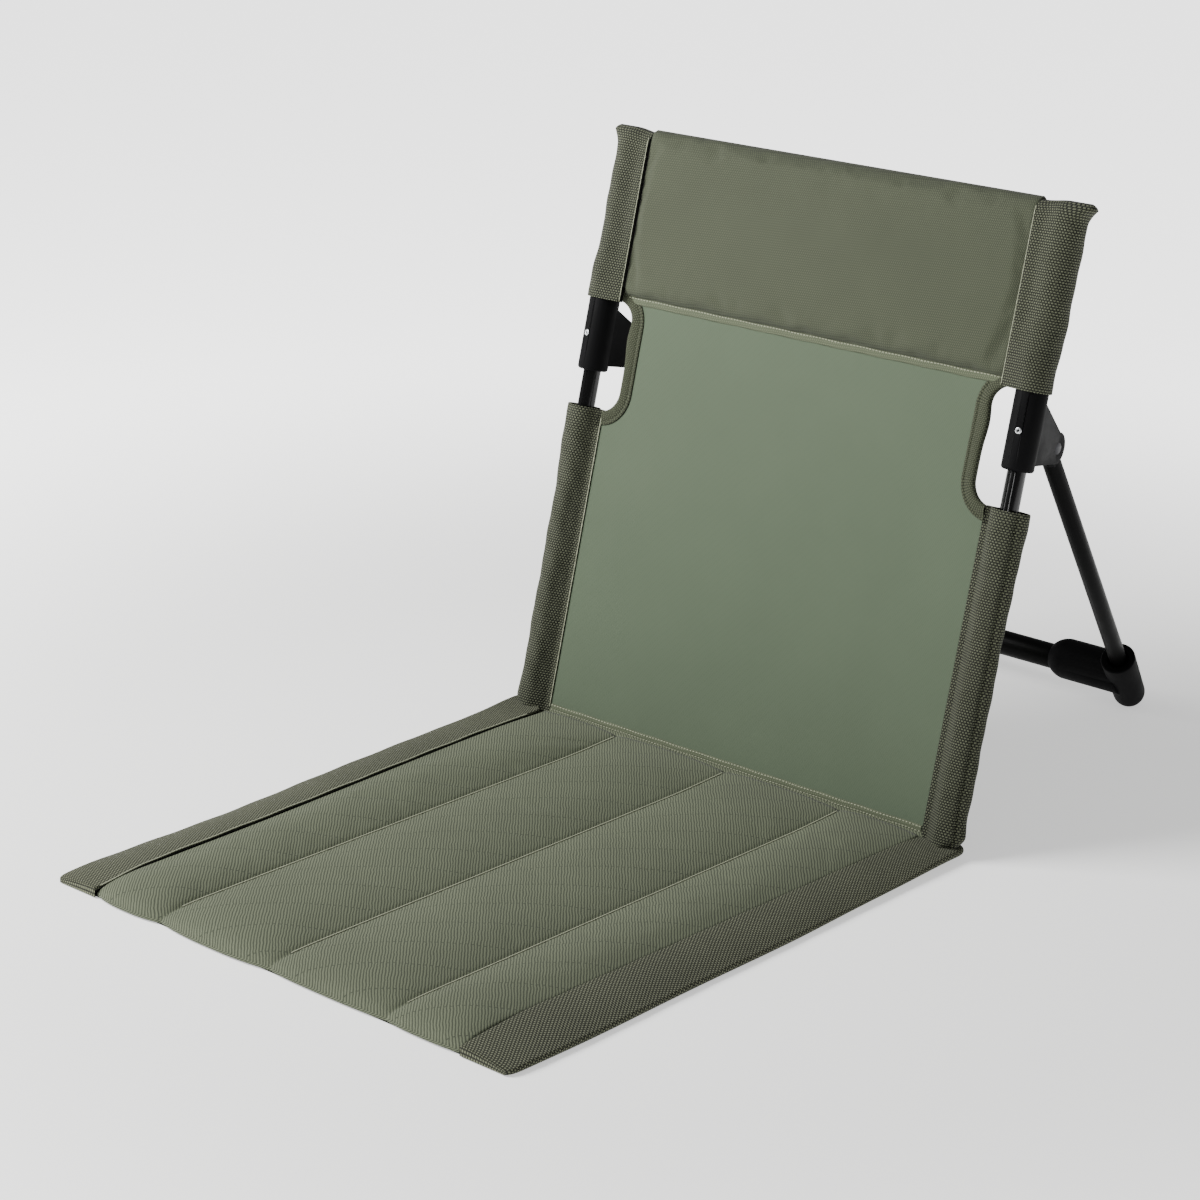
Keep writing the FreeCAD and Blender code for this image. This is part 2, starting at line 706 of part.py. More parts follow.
def make_foot():
    """Moulded foot: a barrel for the leg with a ball end, and a boot for the bar."""
    taper = math.asin((foot_rim - foot_ball) / foot_length)
    touch = vec(foot_ball * math.cos(taper), 0, -foot_ball * math.sin(taper))
    low = vec(foot_ball * math.sin(math.radians(45)), 0, -foot_ball * math.cos(math.radians(45)))
    edge = foot_rim_edge
    profile = closed_wire(
        vec(0, 0, -foot_ball),
        (low, touch),
        vec(foot_rim, 0, foot_length - edge),
        (vec(foot_rim - edge * (1 - math.sqrt(0.5)), 0, foot_length - edge * (1 - math.sqrt(0.5))),
         vec(foot_rim - edge, 0, foot_length)),
        vec(0, 0, foot_length))
    barrel = Part.Face(profile).revolve(vec(0, 0, 0), vec(0, 0, 1), 360)
    barrel.Placement = FreeCAD.Placement(foot_centre, FreeCAD.Rotation(vec(0, 0, 1), leg_down * -1))
    foot = barrel.fuse(make_boot())
    foot = foot.cut(rod(leg_radius + press_gap, along_leg(leg_span - socket_floor), along_leg(0)))
    mouth = leg_span - foot_length
    foot = foot.cut(rod(mouth_radius, along_leg(mouth + mouth_depth), along_leg(mouth - mouth_depth)))
    bar_end = vec(bar_half, bar_point.y, bar_point.z)
    foot = foot.cut(rod(bar_od / 2 + press_gap, vec(0, bar_end.y, bar_end.z), bar_end))
    return foot.cut(Part.makeBox(2 * far, 2 * far, far, vec(-far, -far, -far))).removeSplitter()


def make_foot_bar():
    """Cross bar between the feet."""
    end = vec(bar_half, bar_point.y, bar_point.z)
    return pipe(bar_od / 2, bar_wall, vec(-end.x, end.y, end.z), end)


# Export, one file for each piece

def save(name, *shapes):
    """Write the solids of one named piece."""
    solids = [solid for shape in shapes for solid in shape.Solids]
    piece = solids[0] if len(solids) == 1 else Part.makeCompound(solids)
    piece.exportStep("parts/" + name + ".step")


def save_pair(name, shape):
    """Write a right piece and its mirror image."""
    save(name + "_right", shape)
    save(name + "_left", mirrored(shape))


def main():
    """Build and write every piece."""
    os.makedirs("parts", exist_ok=True)
    save_pair("pole", make_pole())
    save_pair("pole_top_cap", make_cap(back_length - pole_top_gap, 1))
    save_pair("pole_bottom_cap", make_cap(pole_foot_gap, -1))
    save_pair("hub", make_hub())
    rivet = make_rivet()
    save("hub_rivets", rivet, mirrored(rivet))
    pin = make_pin()
    save("leg_pins", pin, mirrored(pin))
    save_pair("upper_sleeve", make_upper_sleeve())
    save_pair("lower_sleeve", make_lower_sleeve())
    save_pair("corner_pocket", make_corner_pocket())
    save("mesh_panel", make_mesh_panel())
    save_pair("cutout_binding", make_binding())
    save("headrest_cover", make_headrest_cover())
    save("headrest_pad", make_headrest_pad())
    save("headrest_hem", make_headrest_hem())
    save("seat_seam", make_seat_seam())
    save("seat_base", make_seat_base())
    save("seat_cover", make_seat_cover())
    for index in range(channel_count):
        save("seat_pad_%d" % (index + 1), channel_form(index, pad_gap))
    save_pair("seat_hem", make_seat_hem())
    save_pair("corner_seam", make_corner_seam())
    save_pair("leg", make_leg())
    save_pair("leg_tongue", make_leg_tongue())
    save_pair("foot", make_foot())
    save("foot_bar", make_foot_bar())


main()
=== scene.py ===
"""Looks of a low folding ground chair, built round its CAD frame.

Each soft piece is drawn as cloth in the place of its CAD solid. Rigid pieces keep
their CAD meshes and get a finish. All lengths are in metres.
"""
import logging
import math
from dataclasses import dataclass
from enum import Enum
from typing import Sequence

import bmesh
import bpy
import numpy as np
from mathutils import Matrix, Vector


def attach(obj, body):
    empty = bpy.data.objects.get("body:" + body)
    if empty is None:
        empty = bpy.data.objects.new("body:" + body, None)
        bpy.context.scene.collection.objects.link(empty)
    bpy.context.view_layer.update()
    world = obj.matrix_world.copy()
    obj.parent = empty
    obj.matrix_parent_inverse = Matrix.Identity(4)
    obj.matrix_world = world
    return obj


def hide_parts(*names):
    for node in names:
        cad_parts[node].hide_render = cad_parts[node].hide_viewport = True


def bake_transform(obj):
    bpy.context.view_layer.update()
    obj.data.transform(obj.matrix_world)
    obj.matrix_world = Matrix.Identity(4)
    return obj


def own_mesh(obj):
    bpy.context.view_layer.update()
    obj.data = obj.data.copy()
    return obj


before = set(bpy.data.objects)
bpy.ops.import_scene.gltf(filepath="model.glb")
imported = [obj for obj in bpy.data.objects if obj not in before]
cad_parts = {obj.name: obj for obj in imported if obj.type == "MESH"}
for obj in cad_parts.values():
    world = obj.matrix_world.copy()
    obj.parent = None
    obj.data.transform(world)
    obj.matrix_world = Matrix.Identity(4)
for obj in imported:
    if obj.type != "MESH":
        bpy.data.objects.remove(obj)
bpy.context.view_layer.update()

LOG = logging.getLogger("chair")
MM = 0.001
UP = (0.0, 0.0, 1.0)
Span = tuple[float, float]


class Side(Enum):
    """Side of the chair, with the sign of its X."""

    LEFT = -1
    RIGHT = 1

    @property
    def label(self) -> str:
        """Returns: the word that the CAD nodes of this side end in."""
        return self.name.lower()

    @classmethod
    def both(cls, *stems: str) -> list[str]:
        """Returns: the full names of the CAD nodes on both sides that start with these stems."""
        return [stem + "_" + side.label for stem in stems for side in cls]


@dataclass(frozen=True)
class YarnSize:
    """Sizes of a weave in millimetres, a little coarser than real yarn so that they show in the render."""

    length: float
    row: float
    turn_deg: float
    depth: float
    gap: float
    waver: float


class Weave(Enum):
    """How a cloth is woven: yarn length, row height, turn of the rows, yarn depth, gap share and waver."""

    BALLISTIC = YarnSize(2.2, 1.8, 0.0, 0.90, 0.45, 0.1)
    TWILL = YarnSize(60.0, 1.9, 47.0, 0.14, 0.42, 2.0)
    HEADREST = YarnSize(2.2, 1.3, 47.0, 0.09, 0.36, 0.6)
    MESH = YarnSize(9.0, 1.3, 45.0, 0.03, 0.40, 0.5)
    TAPE = YarnSize(1.5, 1.3, 0.0, 0.20, 0.30, 0.2)


@dataclass(frozen=True)
class ClothFinish:
    """Polyester cloth of one weave, in its dyed colour; a few of these finishes are painted shade or painted
    highlight instead.
    """

    name: str
    weave: Weave
    yarn: str
    gap: str
    roughness: float
    sheen: float
    fade: float


@dataclass(frozen=True)
class HardFinish:
    """Rigid finish: a base colour with the fine grain of how it was made."""

    name: str
    base: str
    roughness: float
    grain_mm: float
    grain_depth_mm: float
    wear: float
    metallic: float = 0.0
    specular: float = 0.5


# Heavy yarn in offset rows: catches light as rows of small pips with dark gaps
SLEEVE_CLOTH = ClothFinish("ballistic_polyester_woven", Weave.BALLISTIC, "#646853", "#020301",
                           roughness=0.86, sheen=0.05, fade=0.10)
# The same heavy cloth on the hems, painted a little paler where it lies flat, as painted light for the extra
# light the flat hem catches
HEM_CLOTH_PAINTED_LIGHT = ClothFinish("ballistic_polyester_hemmed", Weave.BALLISTIC, "#7d8168", "#0c0d08",
                        roughness=0.86, sheen=0.05, fade=0.10)
# Fine slanted rib, lightly ribbed to the eye and soft in the highlights
QUILT_CLOTH = ClothFinish("polyester_twill_woven", Weave.TWILL, "#666c57", "#383d31",
                          roughness=0.88, sheen=0.06, fade=0.06)
# The same twill on the headrest, where its rib is shorter and it looks darker
HEADREST_CLOTH = ClothFinish("polyester_twill_headrest", Weave.HEADREST, "#4c513f", "#2f3328",
                             roughness=0.88, sheen=0.06, fade=0.06)
# Close and smooth, so it reads as one even grey green
PANEL_CLOTH = ClothFinish("polyester_mesh_warp_knit", Weave.MESH, "#515d4a", "#4b5745",
                          roughness=0.84, sheen=0.06, fade=0.03)
# Narrow folded tape, darker along its grooves
TAPE_CLOTH = ClothFinish("polyester_tape_folded", Weave.TAPE, "#484d3a", "#1d1f16",
                         roughness=0.88, sheen=0.05, fade=0.06)
# Flat folded strips across the panel, close to the panel in tone
STRIP_CLOTH = ClothFinish("polyester_twill_folded", Weave.HEADREST, "#616852", "#3f4535",
                          roughness=0.88, sheen=0.05, fade=0.05)
# Coated underside, dull and dark
GROUND_CLOTH = ClothFinish("coated_ground_cloth", Weave.MESH, "#2d3126", "#1e2119",
                           roughness=0.70, sheen=0.0, fade=0.08)
# Painted shade: near-black colour on the turned-in edges of seams and in seam gaps, standing in for the
# shadow there that reads as a black line
PAINTED_SEAM_SHADE = ClothFinish("polyester_seam_tucked", Weave.TAPE, "#121310", "#060705",
                          roughness=0.95, sheen=0.0, fade=0.05)
# Pale thread that dots the seams; the same pale colour on the thin lines along folded edges and seams is a
# painted highlight, standing in for light caught by the edge
THREAD_AND_HIGHLIGHT = ClothFinish("polyester_thread_spun", Weave.TAPE, "#a0a48c", "#8a8e78",
                     roughness=0.80, sheen=0.1, fade=0.0)

# Stoved gloss paint: a narrow streak down the pole
POLE_PAINT = HardFinish("steel_tube_gloss_painted", "#060606", roughness=0.16, grain_mm=0.9,
                        grain_depth_mm=0.0008, wear=0.15, specular=0.28)
# Baked powder: satin black, with a faint long highlight and a very fine orange peel
TUBE_COAT = HardFinish("steel_tube_powder_coated", "#060606", roughness=0.42, grain_mm=0.7,
                       grain_depth_mm=0.02, wear=0.25, specular=0.06)
# Spark-eroded mould grain: nearly matt, with a broad dull highlight
NYLON = HardFinish("nylon_injection_moulded", "#0b0b0c", roughness=0.62, grain_mm=0.45,
                   grain_depth_mm=0.03, wear=0.2, specular=0.06)
# Bare drawn metal, bright against the black
RIVET = HardFinish("aluminium_rivet_drawn", "#d8dadc", roughness=0.28, grain_mm=0.3,
                   grain_depth_mm=0.01, wear=0.5, metallic=1.0)
# Blackened pin ends, a little brighter than the plastic
PIN = HardFinish("steel_pin_blackened", "#2c2c2e", roughness=0.38, grain_mm=0.3,
                 grain_depth_mm=0.01, wear=0.4, metallic=1.0)


def linear(code: str) -> tuple[float, float, float, float]:
    """Turn an sRGB hex colour into linear light.

    Args:
        code: colour such as "#6c705a".
    Returns: red, green, blue and alpha in linear light.
    """
    values = [int(code[i:i + 2], 16) / 255 for i in (1, 3, 5)]
    parts = [v / 12.92 if v <= 0.04045 else ((v + 0.055) / 1.055) ** 2.4 for v in values]
    return parts[0], parts[1], parts[2], 1.0


def add_node(tree: bpy.types.NodeTree, kind: str, inputs: dict | None = None,
             **settings: object) -> bpy.types.Node:
    """Add a shader node, with its settings and what goes into it.

    Args:
        tree: node tree of the material.
        kind: Blender's type name of the node.
        inputs: socket name or index to a value or to another node's socket.
        settings: properties of the node.
    Returns: the new node.
    """
    node = tree.nodes.new(kind)
    for key, value in settings.items():
        setattr(node, key, value)
    for key, value in (inputs or {}).items():
        if isinstance(value, bpy.types.NodeSocket):
            tree.links.new(value, node.inputs[key])
        else:
            node.inputs[key].default_value = value
    return node


class FinishShop:
    """Makes each finish once and hands it out."""

    # Part of a noise's range that is used, because the rest is rare
    NOISE_SPAN = {"From Min": 0.3, "From Max": 0.7}
    CLOTH_SPECULAR = 0.25
    SHEEN_ROUGHNESS = 0.5
    YARN_BUMP = 0.8
    GRAIN_BUMP = 0.5
    WANDER_MM = 9.0
    CLOUDS_PER_M = 14.0
    SMUDGES_PER_M = 60.0

    def __init__(self) -> None:
        """Start with no finish made."""
        self.made: dict[str, bpy.types.Material] = {}

    def get(self, finish: ClothFinish | HardFinish) -> bpy.types.Material:
        """Hand out a finish, and make it the first time.

        Args:
            finish: a cloth or a rigid finish.
        Returns: the material.
        """
        if finish.name not in self.made:
            material = bpy.data.materials.new(finish.name)
            material.use_nodes = True
            tree = material.node_tree
            tree.nodes.clear()
            draw = self.cloth if isinstance(finish, ClothFinish) else self.hard
            shader = add_node(tree, "ShaderNodeBsdfPrincipled", draw(tree, finish))
            add_node(tree, "ShaderNodeOutputMaterial", {"Surface": shader.outputs["BSDF"]})
            self.made[finish.name] = material
        return self.made[finish.name]

    def cloth(self, tree: bpy.types.NodeTree, finish: ClothFinish) -> dict:
        """Draw woven cloth in its own flat coordinates.

        Args:
            tree: node tree of the material.
            finish: the cloth's weave and colours.
        Returns: what goes into the surface shader.
        """
        weave = finish.weave.value
        flat = add_node(tree, "ShaderNodeUVMap", uv_map="cloth")
        scaled = add_node(tree, "ShaderNodeMapping", {
            "Vector": flat.outputs["UV"], "Rotation": (0, 0, math.radians(weave.turn_deg)),
            "Scale": (1 / MM, 1 / MM, 1)})
        drift = add_node(tree, "ShaderNodeTexNoise", {
            "Vector": scaled.outputs["Vector"], "Scale": 1 / self.WANDER_MM, "Detail": 2.0})
        wander = add_node(tree, "ShaderNodeVectorMath", {
            0: drift.outputs["Color"], 1: (weave.waver, weave.waver, 0), 2: scaled.outputs["Vector"]},
            operation="MULTIPLY_ADD")
        yarns = add_node(tree, "ShaderNodeTexBrick", {
            "Vector": wander.outputs["Vector"], "Scale": 1.0, "Brick Width": weave.length,
            "Row Height": weave.row, "Mortar Size": weave.gap * weave.row, "Mortar Smooth": 1.0, "Bias": 0.0,
            "Color1": linear(finish.yarn), "Color2": linear(finish.yarn), "Mortar": linear(finish.gap)},
            offset=0.5)
        place = add_node(tree, "ShaderNodeTexCoord")
        cloud = add_node(tree, "ShaderNodeTexNoise", {
            "Vector": place.outputs["Object"], "Scale": self.CLOUDS_PER_M, "Detail": 5.0, "Roughness": 0.55})
        swing = add_node(tree, "ShaderNodeMapRange", {
            "Value": cloud.outputs["Fac"], **self.NOISE_SPAN,
            "To Min": 1 - finish.fade, "To Max": 1 + finish.fade})
        shade = add_node(tree, "ShaderNodeHueSaturation", {
            "Color": yarns.outputs["Color"], "Value": swing.outputs["Result"]})
        height = add_node(tree, "ShaderNodeMath", {0: 1.0, 1: yarns.outputs["Fac"]}, operation="SUBTRACT")
        bump = add_node(tree, "ShaderNodeBump", {
            "Height": height.outputs["Value"], "Strength": self.YARN_BUMP, "Distance": weave.depth * MM})
        return {"Base Color": shade.outputs["Color"], "Normal": bump.outputs["Normal"],
                "Roughness": finish.roughness, "Specular IOR Level": self.CLOTH_SPECULAR,
                "Sheen Weight": finish.sheen, "Sheen Roughness": self.SHEEN_ROUGHNESS}

    def hard(self, tree: bpy.types.NodeTree, finish: HardFinish) -> dict:
        """Draw a rigid finish with its grain, in the part's own coordinates.

        Args:
            tree: node tree of the material.
            finish: colour, gloss and grain.
        Returns: what goes into the surface shader.
        """
        place = add_node(tree, "ShaderNodeTexCoord")
        grain = add_node(tree, "ShaderNodeTexNoise", {
            "Vector": place.outputs["Object"], "Scale": 1 / (finish.grain_mm * MM), "Detail": 3.0})
        smudge = add_node(tree, "ShaderNodeTexNoise", {
            "Vector": place.outputs["Object"], "Scale": self.SMUDGES_PER_M, "Detail": 6.0, "Roughness": 0.6})
        rough, wear = finish.roughness, finish.wear
        gloss = add_node(tree, "ShaderNodeMapRange", {
            "Value": smudge.outputs["Fac"], **self.NOISE_SPAN,
            "To Min": rough * (1 - wear / 2), "To Max": rough * (1 + wear / 2)})
        tone = add_node(tree, "ShaderNodeMapRange", {
            "Value": smudge.outputs["Fac"], **self.NOISE_SPAN,
            "To Min": 1 - wear / 4, "To Max": 1 + wear / 4})
        shade = add_node(tree, "ShaderNodeHueSaturation", {
            "Color": linear(finish.base), "Value": tone.outputs["Result"]})
        bump = add_node(tree, "ShaderNodeBump", {
            "Height": grain.outputs["Fac"], "Strength": self.GRAIN_BUMP,
            "Distance": finish.grain_depth_mm * MM})
        return {"Base Color": shade.outputs["Color"], "Roughness": gloss.outputs["Result"],
                "Normal": bump.outputs["Normal"], "Metallic": finish.metallic,
                "Specular IOR Level": finish.specular}


def ease(value: np.ndarray | float, low: float, high: float) -> np.ndarray:
    """Smooth step from 0 to 1.

    Args:
        value: where to read the step.
        low: where it starts to rise.
        high: where it is full.
    Returns: the step's height at each value.
    """
    t = np.clip((np.asarray(value, float) - low) / (high - low), 0.0, 1.0)
    return t * t * (3 - 2 * t)


def quarter(value: np.ndarray | float, length: float) -> np.ndarray:
    """Rise of a rounded edge, from 0 at the edge to 1.

    Args:
        value: distance from the edge.
        length: distance over which it rises.
    Returns: the share of the full height.
    """
    t = np.clip(np.asarray(value, float) / length, 0.0, 1.0)
    return np.sqrt(1 - (1 - t) ** 2)


def run_along(points: np.ndarray) -> np.ndarray:
    """Length run along a path.

    Args:
        points: path, one row for each point.
    Returns: the length up to each point.
    """
    return np.concatenate([[0.0], np.cumsum(np.linalg.norm(np.diff(points, axis=0), axis=1))])


def resample(points: np.ndarray, count: int) -> np.ndarray:
    """Spread points evenly along a path.

    Args:
        points: path, one row for each point.
        count: how many points to give back.
    Returns: the evenly spread points.
    """
    run = run_along(points)
    where = np.linspace(0.0, run[-1], count)
    return np.stack([np.interp(where, run, points[:, k]) for k in range(points.shape[1])], axis=1)


def flat_grid(across: np.ndarray, along: np.ndarray) -> np.ndarray:
    """Places of a grid on the uncut cloth.

    Args:
        across: place of each column.
        along: place of each row.
    Returns: rows by columns by 2.
    """
    return np.stack(np.broadcast_arrays(across[None, :], along[:, None]), axis=-1)


@dataclass(frozen=True)
class BackPlane:
    """The leaning plane of the poles: x across, n behind it, s up the slope from the floor."""

    foot_y: float = 46.20 * MM
    recline: float = math.radians(15.0)

    def place(self, x: np.ndarray | float, n: np.ndarray | float, s: np.ndarray | float) -> np.ndarray:
        """Points of the back in the row frame.

        Args:
            x: across the chair.
            n: behind the plane of the poles.
            s: up the slope.
        Returns: an array whose last axis is x, y and z.
        """
        c, k = math.cos(self.recline), math.sin(self.recline)
        x, n, s = np.broadcast_arrays(np.asarray(x, float), np.asarray(n, float), np.asarray(s, float))
        return np.stack([x, self.foot_y + n * c + s * k, s * c - n * k], axis=-1)


class ClothMesh:
    """Gathers grids of points, with their flat cloth coordinates, into one mesh."""

    def __init__(self, name: str) -> None:
        """Start an empty mesh.

        Args:
            name: name of the piece.
        """
        self.name = name
        self.points: list[np.ndarray] = []
        self.flats: list[np.ndarray] = []
        self.faces: list[np.ndarray] = []
        self.marks: list[np.ndarray] = []
        self.count = 0

    def add(self, points: np.ndarray, flat: np.ndarray, faces: np.ndarray, marks: np.ndarray) -> None:
        """Add faces with points of their own.

        Args:
            points: the points, one in each row.
            flat: their places on the uncut cloth.
            faces: the points of each face.
            marks: which finish each face has.
        """
        self.points.append(points)
        self.flats.append(flat)
        self.faces.append(faces + self.count)
        self.marks.append(marks)
        self.count += len(points)

    def grid(self, points: np.ndarray, flat: np.ndarray, tucked: Sequence[int] = ()) -> "ClothMesh":
        """Add one grid.

        Args:
            points: rows by columns by 3.
            flat: rows by columns by 2, the place on the uncut cloth.
            tucked: columns of faces that are turned in at a seam; they get the second finish, a painted
                shade.
        Returns: this mesh.
        """
        rows, cols = points.shape[:2]
        index = np.arange(rows * cols).reshape(rows, cols)
        quads = np.stack([index[:-1, :-1], index[:-1, 1:], index[1:, 1:], index[1:, :-1]], axis=-1)
        marks = np.zeros((rows - 1, cols - 1), int)
        marks[:, list(tucked)] = 1
        self.add(points.reshape(-1, 3), flat.reshape(-1, 2), quads.reshape(-1, 4), marks.ravel())
        return self

    def wall(self, edge: np.ndarray, foot: np.ndarray, flat: np.ndarray, step: Sequence[float]) -> None:
        """Add a narrow wall from an edge to its foot, which lies a step further on the uncut cloth."""
        self.grid(np.stack([edge, foot]), np.stack([flat, flat + step]))

    def build(self, *materials: bpy.types.Material, weld: float = 0.01 * MM,
              outward: bool = True) -> bpy.types.Object:
        """Make the object.

        Args:
            materials: finish of the piece, and the painted shade of its tucked edges if it has any.
            weld: points closer than this become one.
            outward: whether its faces are turned to face outward.
        Returns: the new object, not yet riding on a body.
        """
        flats = np.concatenate(self.flats)
        faces = np.concatenate(self.faces)
        mesh = bpy.data.meshes.new(self.name)
        mesh.from_pydata(np.concatenate(self.points).tolist(), [], faces.tolist())
        for material in materials:
            mesh.materials.append(material)
        mesh.polygons.foreach_set("material_index", np.concatenate(self.marks).astype(np.int32))
        layer = mesh.uv_layers.new(name="cloth")
        layer.data.foreach_set("uv", flats[faces.ravel()].astype(np.float32).ravel())
        body = bmesh.new()
        body.from_mesh(mesh)
        if weld > 0:
            bmesh.ops.remove_doubles(body, verts=body.verts, dist=weld)
        if outward:
            bmesh.ops.recalc_face_normals(body, faces=body.faces)
        body.to_mesh(mesh)
        body.free()
        mesh.polygons.foreach_set("use_smooth", np.ones(len(mesh.polygons), bool))
        piece = bpy.data.objects.new(self.name, mesh)
        bpy.context.scene.collection.objects.link(piece)
        return piece


class ThreadAndPaintedLines(ClothMesh):
    """Rows of thread stitching, and thin pale or dark lines along edges that are painted highlights or
    painted shadows, gathered into one piece for each body.
    """

    LENGTH = 2.1 * MM
    PITCH = 2.8 * MM
    WIDTH = 0.75 * MM
    HEIGHT = 0.45 * MM
    # Length of a stitch's ridge as a share of the whole, and its section across and over the cloth
    RIDGE = 0.55
    STITCH = ((-1, 0.1), (0, 1), (1, 0.1))
    # Section of a thin painted line, across and over the cloth
    PAINTED_LINE_SECTION = ((-1, -0.2), (-0.6, 0.7), (0.6, 0.7), (1, -0.2))
    FACES = np.array([[0, 1, 4], [0, 4, 3], [1, 2, 5], [1, 5, 4], [0, 6, 1], [1, 6, 2], [3, 4, 7], [4, 5, 7]])

    def lay(self, points: np.ndarray, faces: np.ndarray) -> None:
        """Add a bit of thread or painted line, with its flat places straight below it."""
        self.add(points, points[:, :2], faces, np.zeros(len(faces), int))

    def row(self, path: np.ndarray, out: np.ndarray) -> None:
        """Sew one row.

        Args:
            path: points that the row follows.
            out: direction away from the cloth.
        """
        number = max(2, int(run_along(path)[-1] / self.PITCH))
        # Each stitch has 8 steps of the path, with its middle on the fourth
        fine = resample(path, 8 * number + 1)
        middle = fine[4::8]
        along = fine[5::8][:len(middle)] - fine[3::8][:len(middle)]
        along /= np.linalg.norm(along, axis=1, keepdims=True)
        half = along * self.LENGTH / 2
        side = np.cross(out, along) * self.WIDTH / 2
        lift = out * self.HEIGHT
        for centre, a, w in zip(middle, half, side):
            ridge = [centre + a * x + w * y + lift * z
                     for x in (-self.RIDGE, self.RIDGE) for y, z in self.STITCH]
            self.lay(np.array(ridge + [centre - a, centre + a]), self.FACES)

    def painted_line(self, path: np.ndarray, out: np.ndarray | Sequence[float], width: float) -> None:
        """Lay a thin unbroken line along a folded edge: with the pale finish a painted highlight, with the
        dark finish a painted shadow.

        Args:
            path: points that the line follows.
            out: direction away from the cloth.
            width: width of the line.
        """
        up = np.broadcast_to(np.asarray(out, float), path.shape) * width / 2
        side = np.cross(up, np.gradient(path, axis=0))
        side *= width / 2 / np.linalg.norm(side, axis=1, keepdims=True)
        points = np.stack([path + side * y + up * z for y, z in self.PAINTED_LINE_SECTION], axis=1)
        index = np.arange(points[..., 0].size).reshape(-1, len(self.PAINTED_LINE_SECTION))
        faces = []
        for k in range(len(self.PAINTED_LINE_SECTION) - 1):
            a, b, c, d = index[:-1, k], index[:-1, k + 1], index[1:, k + 1], index[1:, k]
            faces += [np.stack([a, b, c], axis=1), np.stack([a, c, d], axis=1)]
        self.lay(points.reshape(-1, 3), np.concatenate(faces))


@dataclass(frozen=True)
class Puff:
    """How a padded cloth is blown up over its foam."""

    pressure: float
    slack: float
    cap: float
    frames: int = 20

    def run(self, points: np.ndarray, pinned: np.ndarray) -> np.ndarray:
        """Simulate a grid of cloth held along its seams.

        Args:
            points: rows by columns by 3.
            pinned: rows by columns, 1 where the cloth is sewn down.
        Returns: the points after the simulation, none moved by more than the cap.
        """
        flat = np.zeros(points.shape[:2] + (2,))
        piece = ClothMesh("puff").grid(points, flat).build(bpy.data.materials.new("puff"), weld=0)
        group = piece.vertex_groups.new(name="sewn")
        for weight in np.unique(pinned):
            if weight > 0:
                group.add(np.flatnonzero(pinned.ravel() == weight).tolist(), float(weight), "REPLACE")
        cloth = piece.modifiers.new("cloth", "CLOTH")
        for key, value in {"quality": 6, "mass": 0.3, "tension_stiffness": 20, "compression_stiffness": 20,
                           "shear_stiffness": 8, "bending_stiffness": 0.6, "use_pressure": True,
                           "uniform_pressure_force": self.pressure, "shrink_min": -self.slack,
                           "vertex_group_mass": "sewn"}.items():
            setattr(cloth.settings, key, value)
        cloth.settings.effector_weights.gravity = 0
        cloth.collision_settings.use_collision = False
        cloth.point_cache.frame_start, cloth.point_cache.frame_end = 1, self.frames
        scene = bpy.context.scene
        for number in range(1, self.frames + 1):
            scene.frame_set(number)
        result = piece.evaluated_get(bpy.context.evaluated_depsgraph_get())
        moved = np.zeros(points.size, np.float32)
        result.data.vertices.foreach_get("co", moved)
        scene.frame_set(1)
        mesh = piece.data
        bpy.data.objects.remove(piece)
        bpy.data.meshes.remove(mesh)
        shift = moved.reshape(points.shape) - points
        size = np.linalg.norm(shift, axis=-1, keepdims=True)
        shift = shift * np.minimum(1.0, self.cap / np.maximum(size, 1e-9))
        LOG.info("puffed %d points by up to %.1f mm", points[..., 0].size, float(size.max()) / MM)
        return points + shift


class Part:
    """A sub-assembly: its pieces ride on one CAD body and stand for CAD solids."""

    body: str = ""

    def __init__(self, shop: FinishShop) -> None:
        """Start a sub-assembly.

        Args:
            shop: where finishes come from.
        """
        self.shop = shop
        # Real thread stitches and pale painted highlight lines, then dark painted seam shadow lines
        self.stitches_and_highlights = ThreadAndPaintedLines(self.body + "_stitches")
        self.painted_shadows = ThreadAndPaintedLines(self.body + "_seam_gaps")

    def own(self, piece: bpy.types.Object, slot: str, *nodes: str,
            bend: tuple[float, float] | None = None) -> bpy.types.Object:
        """Let a piece ride on this body, or, when bend is given, leave it off the body with its transform
        baked in, in the place of CAD solids.

        Args:
            piece: the new piece.
            slot: not used.
            nodes: CAD solids that it stands for.
            bend: places along the chair between the seat and the back; only whether it is given is used.
        Returns: the piece.
        """
        if bend:
            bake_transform(piece)
        else:
            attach(piece, self.body)
        if nodes:
            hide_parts(*nodes)
        LOG.info("%s rides on %s", piece.name, "seat and backrest" if bend else self.body)
        return piece

    def sew(self) -> None:
        """Make this body's stitching and pale painted highlight lines one piece, and its dark painted seam
        shadow lines another.
        """
        for thread, finish in ((self.stitches_and_highlights, THREAD_AND_HIGHLIGHT), (self.painted_shadows, PAINTED_SEAM_SHADE)):
            if thread.count:
                self.own(thread.build(self.shop.get(finish), weld=0, outward=False), "binding_tape")

    def finish_nodes(self, finish: HardFinish, *names: str) -> None:
        """Give rigid CAD nodes a finish and softly rounded edges.

        Args:
            finish: the finish.
            names: the CAD nodes.
        """
        for name in names:
            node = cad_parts[name]
            node.data.materials.clear()
            node.data.materials.append(self.shop.get(finish))
            node.data.polygons.foreach_set("use_smooth", np.ones(len(node.data.polygons), bool))
            join = node.modifiers.new("join", "WELD")
            join.merge_threshold = 0.01 * MM
            soften = node.modifiers.new("soften", "BEVEL")
            soften.width = 0.35 * MM
            soften.segments = 2
            soften.limit_method = "ANGLE"
            soften.angle_limit = math.radians(40)
            soften.harden_normals = True
            LOG.info("%s has the finish %s", name, finish.name)


